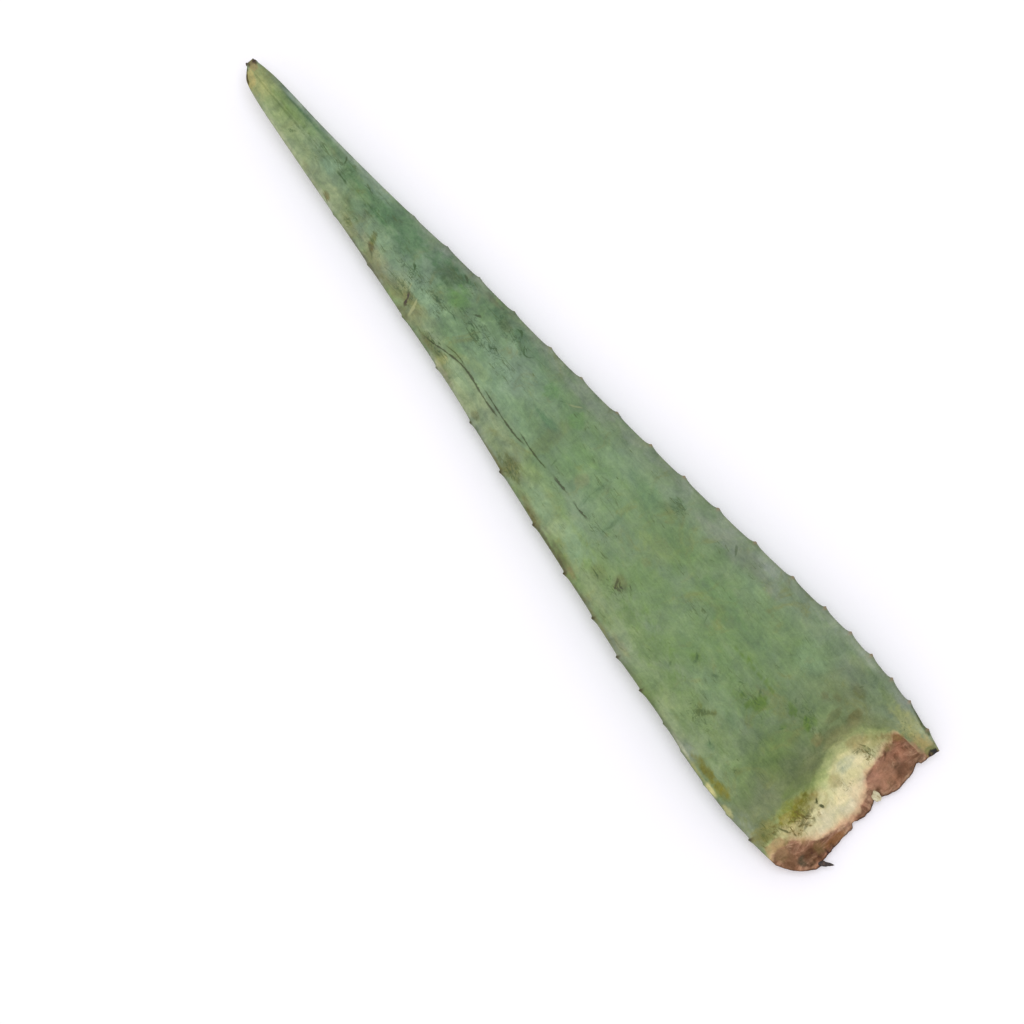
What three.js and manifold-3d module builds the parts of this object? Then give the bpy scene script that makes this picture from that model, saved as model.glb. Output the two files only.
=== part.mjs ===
// A cut aloe vera leaf, lying on its rounded back with its upper face up.
// Millimetres, +Z up. "along" is the distance from the torn base end towards the tip, which is +X.
// "across" runs from -1 at the right margin to +1 at the left one, which is +Y.
import * as THREE from 'three';
import { mergeVertices } from 'three/addons/utils/BufferGeometryUtils.js';
import Module from 'manifold-3d';

// Driving dimensions
const leafLength = 500;

// The middle of the leaf's bounding box, under which its origin lies
const middleAlong = 246.92;
const middleSide = -0.15;

// Outline seen from above: along, then how far the left and the right margin lie from the leaf's axis
const outline = [
  [0, 49.8, 50.0],
  [14, 51.6, 52.4],
  [30, 53.4, 54.6],
  [50, 54.6, 54.9],
  [75, 53.6, 53.8],
  [110, 49.7, 49.8],
  [140, 47.6, 45.6],
  [170, 44.1, 41.1],
  [245, 35.1, 31.6],
  [320, 25.0, 23.2],
  [360, 21.3, 18.6],
  [398, 17.7, 13.1],
  [450, 13.4, 7.6],
  [484, 10.1, 5.0],
  [493, 8.2, 3.6],
  [500, 2.4, 2.0],
];

// Side view: along, then the heights of the underside and of the margins above the resting surface,
// how far the upper face swells above the margins, and how deep its channel is
const profile = [
  [0, 5.0, 11.5, 2.0, 0],
  [30, 2.0, 16.0, 3.0, 0],
  [60, 0.2, 19.2, 3.8, 0],
  [100, -1.0, 20.8, 4.0, 0],
  [160, -1.2, 20.8, 3.8, 0],
  [230, -1.0, 19.2, 3.4, 0],
  [300, 0.6, 17.6, 2.8, 0.4],
  [380, 5.6, 18.4, 2.0, 1.6],
  [440, 11.0, 21.0, 1.6, 2.2],
  [480, 15.4, 22.6, 1.4, 1.4],
  [500, 18.6, 21.8, 1.0, 0],
];
const backFullness = 0.57;
const faceFullness = 0.5;
const channelSharpness = 1.6;

// The torn edge of the sheath: across, then how far in from the furthest point it lies
const tornEdge = [
  [-1, 4.4],
  [-0.86, 4.8],
  [-0.75, 6.1],
  [-0.64, 3.5],
  [-0.42, 1.4],
  [-0.17, 4.6],
  [0, 1.7],
  [0.14, 2.8],
  [0.2, 0.7],
  [0.4, -0.3],
  [0.56, -1.2],
  [0.68, -4.3],
  [0.8, -1.8],
  [0.9, 2.8],
  [0.95, 6.5],
  [1, 12],
];
const tearRoughness = 0.6;
const tearReach = 60;

// Where the thick green blade drops to the pale sheath: across, then along
const sheathLine = [
  [-1, 10],
  [-0.9, 15],
  [-0.68, 29],
  [-0.4, 39],
  [0, 37.5],
  [0.38, 31],
  [0.84, 27],
  [1, 29],
];
const stepBelow = 5;
const stepAbove = 10;
const sheathAtTear = 2.4;
const sheathAtStep = 9.5;
const sheathBlunt = 0.28;

// Marginal teeth: pitch near the base, pitch further up, where it changes, and the last tooth
const teeth = {
  left: { first: 31, nearBase: 18.5, further: 31, changeFrom: 100, changeTo: 230, last: 430 },
  right: { first: 17, nearBase: 16, further: 24, changeFrom: 80, changeTo: 115, last: 400 },
};
const pitchJitter = 2.2;
const toothReach = 1.3;
const toothRoot = 1.6;
const toothRadius = 3.8;
const toothFlatness = 0.5;
const toothLean = 0.35;
const toothLift = 0.3;
const toothSides = 6;
const smallestTooth = 0.45;
const fadeFrom = 0.5;
const scallopDepth = 0.8;
const scallopFalloff = 6;

// The dried spike on the torn edge and the two stubs on the dried tip
const spike = { along: 4, across: 0.68, length: 12.6, radius: 1.6, turn: 0.55, rise: 0.05 };
const tipStubs = [
  { along: 496, side: 1.6, length: 4.6, radius: 1.4, turn: 0.1 },
  { along: 494.6, side: -1.6, length: 5.0, radius: 1.3, turn: -0.15 },
];

const driedSides = 5;
const driedFlatness = 0.85;

// Fineness of the mesh
const baseRows = 21;
const bladeRowStep = 5;
const tipReach = 12;
const tipRows = 5;
const acrossSteps = 18;
const seed = 523;

const clamp01 = (x) => Math.min(1, Math.max(0, x));
const mix = (a, b, t) => a + (b - a) * t;

function smoothstep(from, to, x) {
  const t = clamp01((x - from) / (to - from));
  return t * t * (3 - 2 * t);
}

function seededRandom(start) {
  let state = start;
  return () => {
    state = (state * 1664525 + 1013904223) % 4294967296;
    return state / 4294967296;
  };
}

// A smooth curve through the stations that never swings past them
function curveThrough(stations, column) {
  const xs = stations.map((row) => row[0]);
  const ys = stations.map((row) => row[column]);
  const rises = xs.slice(1).map((x, i) => (ys[i + 1] - ys[i]) / (x - xs[i]));
  const slopes = xs.map((x, i) => {
    if (i === 0) return rises[0];
    if (i === xs.length - 1) return rises[i - 1];
    const product = rises[i - 1] * rises[i];
    return product > 0 ? (2 * product) / (rises[i - 1] + rises[i]) : 0;
  });
  return (x) => {
    let i = 0;
    while (i < xs.length - 2 && x > xs[i + 1]) i += 1;
    const span = xs[i + 1] - xs[i];
    const t = clamp01((x - xs[i]) / span);
    const t2 = t * t;
    const t3 = t2 * t;
    return (
      ys[i] * (2 * t3 - 3 * t2 + 1) +
      ys[i + 1] * (3 * t2 - 2 * t3) +
      slopes[i] * span * (t3 - 2 * t2 + t) +
      slopes[i + 1] * span * (t3 - t2)
    );
  };
}

const leftMargin = curveThrough(outline, 1);
const rightMargin = curveThrough(outline, 2);
const undersideHeight = curveThrough(profile, 1);
const marginHeight = curveThrough(profile, 2);
const crownHeight = curveThrough(profile, 3);
const channelDepth = curveThrough(profile, 4);
const tornAt = curveThrough(tornEdge, 1);
const sheathEndsAt = curveThrough(sheathLine, 1);

// Places of the teeth along one margin, each with its size, which fades towards the tip
function toothRow(rule, random) {
  const places = [];
  let along = rule.first;
  while (along < rule.last) {
    const size = mix(1, smallestTooth, smoothstep(fadeFrom * rule.last, rule.last, along));
    places.push({ along, size });
    const pitch = mix(rule.nearBase, rule.further, smoothstep(rule.changeFrom, rule.changeTo, along));
    along += pitch + (random() - 0.5) * 2 * pitchJitter;
  }
  return places;
}

const random = seededRandom(seed);
const leftTeeth = toothRow(teeth.left, random);
const rightTeeth = toothRow(teeth.right, random);

// The margin swells at each tooth and is scooped between two of them
function scallop(places, along) {
  for (let i = 0; i < places.length - 1; i += 1) {
    const from = places[i].along;
    const to = places[i + 1].along;
    if (along >= from && along <= to) {
      const wave = Math.max(0, Math.sin((Math.PI * (along - from)) / (to - from)));
      return -scallopDepth * Math.sqrt(wave) * places[i].size;
    }
  }
  return 0;
}

// The blade's cross-section
function undersideAt(along, across) {
  const margin = marginHeight(along);
  const depth = margin - undersideHeight(along);
  return margin - depth * (1 - across * across) ** backFullness;
}

function bladeThickness(along, across) {
  const inside = 1 - across * across;
  const depth = marginHeight(along) - undersideHeight(along);
  return (
    depth * inside ** backFullness +
    crownHeight(along) * inside ** faceFullness -
    channelDepth(along) * inside ** channelSharpness
  );
}

// The sheath is a thin wall that carries on from the blade's underside
function sheathThickness(along, across) {
  const line = sheathEndsAt(across);
  const middle = mix(sheathAtTear, sheathAtStep, clamp01((along - tornAt(across)) / line));
  return middle * (1 - across * across) ** sheathBlunt;
}

function thicknessAt(along, across) {
  const line = sheathEndsAt(across);
  const blade = bladeThickness(along, across);
  const sheath = Math.min(blade, sheathThickness(along, across));
  return mix(sheath, blade, smoothstep(line - stepBelow, line + stepAbove, along));
}

function sideAt(along, across) {
  const left = leftMargin(along) + scallop(leftTeeth, along);
  const right = rightMargin(along) + scallop(rightTeeth, along);
  const middle = (leftMargin(along) - rightMargin(along)) / 2;
  const outer = across > 0 ? left - middle : right + middle;
  const plain = (leftMargin(along) + rightMargin(along)) / 2;
  return middle + across * mix(plain, outer, Math.abs(across) ** scallopFalloff);
}

// What would lie below the resting surface is pressed flat by the leaf's weight
function pointOn(along, across, onTop) {
  const bottom = undersideAt(along, across);
  const height = onTop ? bottom + thicknessAt(along, across) : bottom;
  return new THREE.Vector3(along, sideAt(along, across), Math.max(0, height));
}

function rowPlaces() {
  const places = [];
  for (let i = 0; i < baseRows; i += 1) places.push((tearReach * i) / baseRows);
  const bladeRows = Math.round((leafLength - tipReach - tearReach) / bladeRowStep);
  for (let i = 0; i < bladeRows; i += 1) {
    places.push(mix(tearReach, leafLength - tipReach, i / bladeRows));
  }
  for (let i = 0; i <= tipRows; i += 1) {
    places.push(leafLength - tipReach * Math.cos((Math.PI / 2) * (i / tipRows)));
  }
  return places;
}

// Rows near the base bend to follow the torn edge
function alongRow(place, torn) {
  return place < tearReach ? mix(torn, tearReach, place / tearReach) : place;
}

function bladeGeometry() {
  const around = 2 * acrossSteps;
  const rows = rowPlaces();
  const tears = [];
  for (let i = 0; i <= acrossSteps; i += 1) {
    const across = Math.cos((Math.PI * i) / acrossSteps);
    tears.push(tornAt(across) + (random() - 0.5) * 2 * tearRoughness);
  }
  const positions = [];
  for (const place of rows) {
    for (let i = 0; i < around; i += 1) {
      const onTop = i <= acrossSteps;
      const column = onTop ? i : around - i;
      const across = Math.cos((Math.PI * column) / acrossSteps);
      const point = pointOn(alongRow(place, tears[column]), across, onTop);
      positions.push(point.x, point.y, point.z);
    }
  }
  const at = (row, i) => row * around + (i % around);
  const indices = [];
  for (let row = 0; row < rows.length - 1; row += 1) {
    for (let i = 0; i < around; i += 1) {
      indices.push(at(row, i), at(row, i + 1), at(row + 1, i));
      indices.push(at(row, i + 1), at(row + 1, i + 1), at(row + 1, i));
    }
  }
  const last = rows.length - 1;
  for (let i = 0; i < acrossSteps; i += 1) {
    const under = around - i;
    if (i > 0) {
      indices.push(at(0, i), at(0, under), at(0, i + 1));
      indices.push(at(last, i), at(last, i + 1), at(last, under));
    }
    if (i < acrossSteps - 1) {
      indices.push(at(0, i + 1), at(0, under), at(0, under - 1));
      indices.push(at(last, i + 1), at(last, under - 1), at(last, under));
    }
  }
  const geometry = new THREE.BufferGeometry();
  geometry.setAttribute('position', new THREE.Float32BufferAttribute(positions, 3));
  geometry.setIndex(indices);
  return geometry;
}

// A horn with its root sunk into the leaf, pointing along direction
function hornGeometry(root, direction, length, radius, sides, flatness) {
  const geometry = new THREE.ConeGeometry(radius, length, sides);
  geometry.translate(0, length / 2, 0);
  const turn = new THREE.Quaternion().setFromUnitVectors(
    new THREE.Vector3(0, 1, 0),
    direction.clone().normalize(),
  );
  geometry.applyQuaternion(turn);
  geometry.scale(1, 1, flatness);
  geometry.translate(root.x, root.y, root.z);
  return geometry;
}

function toothGeometry(tooth, side) {
  const margin = pointOn(tooth.along, side, true);
  const out = new THREE.Vector3(toothLean, side, toothLift).normalize();
  const root = margin.clone().addScaledVector(out, -toothRoot * tooth.size);
  const length = (toothRoot + toothReach) * tooth.size;
  return hornGeometry(root, out, length, toothRadius * tooth.size, toothSides, toothFlatness);
}

function spikeGeometry() {
  const root = pointOn(spike.along, spike.across, false);
  root.z += sheathAtTear / 2;
  const direction = new THREE.Vector3(-Math.cos(spike.turn), -Math.sin(spike.turn), spike.rise);
  return hornGeometry(root, direction, spike.length, spike.radius, driedSides, driedFlatness);
}

function stubGeometry(stub) {
  const root = pointOn(stub.along, 0, false);
  root.y = stub.side;
  root.z += 0.5 * thicknessAt(stub.along, 0);
  const direction = new THREE.Vector3(Math.cos(stub.turn), Math.sin(stub.turn), 0);
  return hornGeometry(root, direction, stub.length, stub.radius, driedSides, driedFlatness);
}

const wasm = await Module();
wasm.setup();

function solidOf(geometry) {
  geometry.deleteAttribute('normal');
  geometry.deleteAttribute('uv');
  const merged = mergeVertices(geometry);
  return new wasm.Manifold(
    new wasm.Mesh({
      numProp: 3,
      vertProperties: new Float32Array(merged.attributes.position.array),
      triVerts: new Uint32Array(merged.index.array),
    }),
  );
}

function geometryOf(solid) {
  const mesh = solid.getMesh();
  const geometry = new THREE.BufferGeometry();
  geometry.setAttribute('position', new THREE.BufferAttribute(mesh.vertProperties, 3));
  geometry.setIndex(new THREE.BufferAttribute(mesh.triVerts, 1));
  geometry.computeVertexNormals();
  return geometry;
}

function leafGeometry() {
  const horns = [
    ...leftTeeth.map((tooth) => toothGeometry(tooth, 1)),
    ...rightTeeth.map((tooth) => toothGeometry(tooth, -1)),
    ...tipStubs.map(stubGeometry),
    spikeGeometry(),
  ];
  let solid = solidOf(bladeGeometry());
  for (const horn of horns) solid = solid.add(solidOf(horn));
  return geometryOf(solid);
}

const leafSkin = new THREE.MeshStandardMaterial({ color: 0x7f9a76, roughness: 0.5, metalness: 0 });
const leaf = new THREE.Mesh(leafGeometry(), leafSkin);
leaf.name = 'leaf';
leaf.position.set(-middleAlong, -middleSide, 0);

const aloeLeaf = new THREE.Group();
aloeLeaf.add(leaf);

export default aloeLeaf;
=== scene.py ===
import math
import bpy
import numpy as np
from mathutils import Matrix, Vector, noise


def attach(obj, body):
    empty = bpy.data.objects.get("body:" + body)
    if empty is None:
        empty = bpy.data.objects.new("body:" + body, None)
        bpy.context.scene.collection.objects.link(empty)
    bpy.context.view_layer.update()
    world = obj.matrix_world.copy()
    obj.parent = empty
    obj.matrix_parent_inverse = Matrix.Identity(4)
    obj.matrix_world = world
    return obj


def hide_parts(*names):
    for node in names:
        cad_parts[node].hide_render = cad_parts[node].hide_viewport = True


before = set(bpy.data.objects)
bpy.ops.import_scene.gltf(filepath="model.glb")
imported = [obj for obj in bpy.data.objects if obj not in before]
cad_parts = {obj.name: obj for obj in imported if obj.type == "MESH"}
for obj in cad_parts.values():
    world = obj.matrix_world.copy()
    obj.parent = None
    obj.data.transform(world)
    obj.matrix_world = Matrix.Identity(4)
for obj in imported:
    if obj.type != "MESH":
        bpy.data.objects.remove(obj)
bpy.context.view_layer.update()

# A cut aloe vera leaf on its rounded back. Sizes are millimetres in the leaf's own terms until the mesh is
# written: "along" runs from the torn base end to the tip, "side" is how far left of the leaf's axis a
# point lies, and "across" runs from -1 at the right margin to +1 at the left one.
mm = 0.001
origin = {"along": 246.92, "side": -0.15}  # the point of the leaf that the frame's origin lies under


def smoothstep(start, end, x):
    t = np.clip((x - start) / (end - start), 0, 1)
    return t * t * (3 - 2 * t)


def mix(a, b, t):
    return a + (b - a) * t


def bump(x, centre, width):
    return np.exp(-(((x - centre) / width) ** 2))


def curveThrough(stations, at, column=1):
    # a smooth curve through the stations that never swings past them
    xs = np.array([row[0] for row in stations], float)
    ys = np.array([row[column] for row in stations], float)
    rises = np.diff(ys) / np.diff(xs)
    slopes = np.concatenate([rises[:1], np.zeros(len(xs) - 2), rises[-1:]])
    products = rises[:-1] * rises[1:]
    turning = products > 0
    slopes[1:-1][turning] = (2 * products / np.where(turning, rises[:-1] + rises[1:], 1))[turning]
    i = np.clip(np.searchsorted(xs, at, side="left") - 1, 0, len(xs) - 2)
    span = xs[i + 1] - xs[i]
    t = np.clip((at - xs[i]) / span, 0, 1)
    return (
        ys[i] * (2 * t**3 - 3 * t**2 + 1)
        + ys[i + 1] * (3 * t**2 - 2 * t**3)
        + slopes[i] * span * (t**3 - 2 * t**2 + t)
        + slopes[i + 1] * span * (t**3 - t**2)
    )


def clouds(points, size, layer):
    # soft noise, -1 to 1, whose blobs are about size mm long and wide
    long, wide = size
    return np.array([noise.noise((x / long, y / wide, z / wide + layer * 7.3)) for x, y, z in points])


leafShape = {
    "length": 500,
    # along, then how far the left and the right margin lie from the axis
    "outline": [
        (0, 49.8, 50.0), (14, 51.6, 52.4), (30, 53.4, 54.6), (50, 54.6, 54.9), (75, 53.6, 53.8),
        (110, 49.7, 49.8), (140, 47.6, 45.6), (170, 44.1, 41.1), (245, 35.1, 31.6), (320, 25.0, 23.2),
        (360, 21.3, 18.6), (398, 17.7, 13.1), (450, 13.4, 7.6), (484, 10.1, 5.0), (493, 8.2, 3.6),
        (500, 2.4, 2.0),
    ],
    # along, underside, margins, swell of the face above the margins, depth of its channel
    "profile": [
        (0, 5.0, 11.5, 2.0, 0), (30, 2.0, 16.0, 3.0, 0), (60, 0.2, 19.2, 3.8, 0), (100, -1.0, 20.8, 4.0, 0),
        (160, -1.2, 20.8, 3.8, 0), (230, -1.0, 19.2, 3.4, 0), (300, 0.6, 17.6, 2.8, 0.4),
        (380, 5.6, 18.4, 2.0, 1.6), (440, 11.0, 21.0, 1.6, 2.2), (480, 15.4, 22.6, 1.4, 1.4),
        (500, 18.6, 21.8, 1.0, 0),
    ],
    "backFullness": 0.57,
    "faceFullness": 0.5,
    "channelSharpness": 1.6,
    "channelShift": 0.2,  # towards the right margin near the tip, in across
    "channelShiftSpan": (360, 450),
    "toothSeed": 523,
    "teeth": {
        "left": {"first": 31, "nearBase": 18.5, "further": 31, "change": (100, 230), "last": 430},
        "right": {"first": 17, "nearBase": 16, "further": 24, "change": (80, 115), "last": 400},
    },
    "pitchJitter": 2.2,
    "smallestTooth": 0.45,
    # reach, length of the flanks towards the base and the tip, lean towards the tip, scoop between the teeth;
    # the left teeth are worn down by a share between four places along
    "spurs": {
        "left": {"reach": 0.85, "rise": 4.5, "fall": 1.6, "lean": 0.8, "scallop": 0.45, "wornBy": 0.7,
                 "worn": (38, 46, 96, 124)},
        "right": {"reach": 0.85, "rise": 5.5, "fall": 4.0, "lean": 0.4, "scallop": 0.85},
    },
    # how sharply the teeth and the scoops fade inwards from the margin, as powers of across
    "toothDepth": 30,
    "scoopDepth": 6,
    # how narrow the brown of the tooth tips is on the face and on the back, how strong on either margin
    "tipBrown": {"face": 34, "back": 120, "left": 1.8, "right": 0.8},
}

baseEnd = {
    # across, then how far in from the furthest point the torn edge lies
    "tornEdge": [
        (-1, 4.4), (-0.86, 4.8), (-0.78, 4.6), (-0.75, 6.3), (-0.72, 5.6), (-0.64, 3.5), (-0.56, 2.4),
        (-0.48, 1.7), (-0.42, 1.4), (-0.36, 2.2), (-0.3, 3.0), (-0.26, 4.0), (-0.2, 5.0), (-0.17, 5.0),
        (-0.14, 3.6), (-0.08, 2.1), (0, 1.7), (0.06, 2.0), (0.12, 2.8), (0.145, 3.0), (0.165, 0.8),
        (0.2, 0.7), (0.3, 0.4), (0.4, -0.3), (0.5, -1.2), (0.56, -1.8), (0.62, -2.4), (0.66, -3.4),
        (0.7, -3.9), (0.74, -3.2), (0.8, -1.8), (0.86, 0.8), (0.9, 2.8), (0.95, 6.5), (1, 12),
    ],
    "reach": 60,  # the rows follow the torn edge this far
    "tearRound": 0.5,
    "jags": 0.5,
    "halfWidth": 54,
    # across, then along: where the green blade folds down to the pale sheath
    "foldLine": [
        (-1, 5), (-0.9, 7.5), (-0.83, 11.5), (-0.79, 16.5), (-0.76, 22.5), (-0.72, 28), (-0.66, 32),
        (-0.6, 35), (-0.52, 39), (-0.44, 42), (-0.33, 43.5), (-0.22, 43.5), (-0.11, 42), (0, 39),
        (0.11, 35.8), (0.22, 34.2), (0.37, 33.8), (0.56, 33.6), (0.74, 32), (0.85, 28.5), (0.95, 24),
        (1, 20),
    ],
    # across, then along: the inner edge of the dried brown skin
    "driedLine": [
        (-1, 4), (-0.9, 6), (-0.83, 9), (-0.79, 14), (-0.765, 20), (-0.73, 25.5), (-0.69, 25.8),
        (-0.64, 22.8), (-0.57, 23), (-0.5, 22), (-0.42, 20), (-0.33, 18.8), (-0.26, 17), (-0.2, 13.2),
        (-0.15, 10.6), (-0.09, 9), (-0.03, 6.4), (0.04, 4.4), (0.12, 4.1), (0.22, 5.2), (0.34, 6),
        (0.45, 6.8), (0.53, 8.5), (0.61, 12), (0.7, 16), (0.78, 18.2), (0.86, 18.6), (0.94, 17), (1, 15),
    ],
    # across, then along: the line on which the solid blade thins out to the sheath
    "stepLine": [(-1, 10), (-0.9, 15), (-0.68, 29), (-0.4, 39), (0, 37.5), (0.38, 31), (0.84, 27), (1, 29)],
    "stepBelow": 5,
    "stepAbove": 10,
    "wallAtTear": 1.3,
    "wallAtStep": 9.5,
    "wallBlunt": 0.28,
    "trough": 0.7,
    "roll": 0.7,
}

leafMesh = {
    "faceRows": 5,
    "baseRowStep": 0.6,
    "bladeRowStep": 1.35,
    "tipReach": 12,
    "tipRows": 16,
    "tipRound": 0.6,
    "acrossSteps": 88,
    "evenness": 0.5,  # 0 crowds the columns towards the margins, 1 spaces them evenly
    # rows lie closer at the teeth: how much, from how far before a tooth, and over what width
    "crowding": {"times": 2.6, "before": 0.6, "width": 2.6},
}


def toothRows():
    # the same seeded rule that places the teeth of the solid leaf
    shape = leafShape
    state = shape["toothSeed"]
    rows = {}
    for name, rule in shape["teeth"].items():
        places = []
        along = rule["first"]
        while along < rule["last"]:
            size = mix(1, shape["smallestTooth"], smoothstep(0.5 * rule["last"], rule["last"], along))
            places.append((along, size))
            state = (state * 1664525 + 1013904223) % 4294967296
            pitch = mix(rule["nearBase"], rule["further"], smoothstep(*rule["change"], along))
            along += pitch + (state / 4294967296 - 0.5) * 2 * shape["pitchJitter"]
        rows[name] = places
    return rows


teeth = toothRows()


def crowdedRows(along, places):
    # the same rows along one margin, drawn together at its teeth
    fine = np.linspace(0, leafShape["length"] + 5, 4000)
    crowd = leafMesh["crowding"]
    peaks = (bump(fine, tooth - crowd["before"], crowd["width"]) for tooth, _ in places)
    weight = 1 + sum(crowd["times"] * peak for peak in peaks)
    reached = np.concatenate([[0], np.cumsum(weight[1:] * np.diff(fine))])
    return np.interp(along * reached[-1] / fine[-1], reached, fine)


def toothAt(along, margin):
    # how far the margin stands out at its teeth, and how near each point is to a tooth, 0 to 1
    spur = leafShape["spurs"][margin]
    places = teeth[margin]
    out = np.zeros_like(along)
    near = np.zeros_like(along)
    for tooth, size in places:
        d = along - tooth
        rise = np.clip(1 + d / spur["rise"], 0, 1) ** 1.9 * (d <= 0)
        fall = np.clip(1 - d / spur["fall"], 0, 1) ** 1.6 * (d > 0)
        out += spur["reach"] * size * (rise + fall)
        near = np.maximum(near, (rise + fall) * size)
    if "worn" in spur:
        start, full, ending, end = spur["worn"]
        left = 1 - spur["wornBy"] * smoothstep(start, full, along) * (1 - smoothstep(ending, end, along))
        out, near = out * left, near * left
    for (start, size), (end, _) in zip(places, places[1:]):
        t = np.clip((along - start) / (end - start), 0, 1)
        out -= spur["scallop"] * size * np.sqrt(np.sin(math.pi * t**0.62).clip(0, 1))
    return out, near


def bladeSection(along, across):
    # heights of the underside and of the face of the thick blade
    shape = leafShape
    under = curveThrough(shape["profile"], along, 1)
    margin = curveThrough(shape["profile"], along, 2)
    crown = curveThrough(shape["profile"], along, 3)
    channel = curveThrough(shape["profile"], along, 4)
    inside = (1 - across**2).clip(0, 1)
    shifted = across + shape["channelShift"] * smoothstep(*shape["channelShiftSpan"], along) * inside
    bottom = margin - (margin - under) * inside ** shape["backFullness"]
    groove = (1 - np.abs(shifted) ** 1.4).clip(0, 1) ** shape["channelSharpness"]
    top = margin + crown * inside ** shape["faceFullness"] - channel * groove
    return bottom, top


def sheathTop(along, across, bottom, top):
    # near the base the blade steps down to a thin wall that carries on from its underside
    end = baseEnd
    line = curveThrough(end["stepLine"], across)
    torn = curveThrough(end["tornEdge"], across)
    wall = mix(end["wallAtTear"], end["wallAtStep"], ((along - torn) / line).clip(0, 1))
    wall = wall * (1 - across**2).clip(0, 1) ** end["wallBlunt"]
    sheath = bottom + np.minimum(top - bottom, wall)
    return mix(sheath, top, smoothstep(line - end["stepBelow"], line + end["stepAbove"], along))


def rowStations():
    # where each row lies, and how far the section is open there: it closes in a rounded edge at both ends
    m = leafMesh
    length = leafShape["length"]
    turn = np.linspace(0, math.pi / 2, m["faceRows"] + 1)
    face = baseEnd["tearRound"] * (1 - np.cos(turn))
    base = np.arange(baseEnd["tearRound"] + m["baseRowStep"], baseEnd["reach"], m["baseRowStep"])
    bladeEnd = length - m["tipReach"]
    blade = np.linspace(baseEnd["reach"], bladeEnd, round((bladeEnd - baseEnd["reach"]) / m["bladeRowStep"]))
    tip = length - m["tipReach"] * np.cos(np.linspace(0, math.pi / 2, m["tipRows"] + 1)[1:])
    cap = length + m["tipRound"] * np.sin(turn[1:])
    places = np.concatenate([face, base, blade, tip, cap])
    openness = np.concatenate([np.sin(turn), np.ones(len(base) + len(blade) + len(tip)), np.cos(turn[1:])])
    return places, openness


def gridPiece(name, xSteps, ySteps, size=1):
    # a flat grid to be wrapped into a piece, and where its points lie
    bpy.ops.object.select_all(action="DESELECT")
    bpy.ops.mesh.primitive_grid_add(x_subdivisions=xSteps, y_subdivisions=ySteps, size=size)
    piece = bpy.context.object
    piece.name = name
    flat = np.zeros(len(piece.data.vertices) * 3)
    piece.data.vertices.foreach_get("co", flat)
    return piece, flat.reshape(-1, 3)


def placePoints(piece, along, side, height):
    # from millimetres in the leaf's own terms to metres in the frame
    points = np.stack([along - origin["along"], side - origin["side"], height], 1) * mm
    piece.data.vertices.foreach_set("co", points.astype(np.float32).ravel())
    piece.data.update()


def closeMesh(mergeWithin=0, splitQuads=False):
    # merges the points of the active piece that lie together, and turns its faces outwards
    bpy.ops.object.mode_set(mode="EDIT")
    bpy.ops.mesh.select_all(action="SELECT")
    if mergeWithin:
        bpy.ops.mesh.remove_doubles(threshold=mergeWithin)
    bpy.ops.mesh.normals_make_consistent(inside=False)
    if splitQuads:
        bpy.ops.mesh.quads_convert_to_tris(quad_method="FIXED")
    bpy.ops.object.mode_set(mode="OBJECT")
    bpy.ops.object.shade_smooth()


def setAttribute(mesh, name, values, kind="FLOAT"):
    layer = mesh.attributes.new(name, kind, "POINT")
    field = {"FLOAT": "value", "FLOAT_COLOR": "color"}[kind]
    layer.data.foreach_set(field, np.asarray(values, np.float32).ravel())


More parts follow.
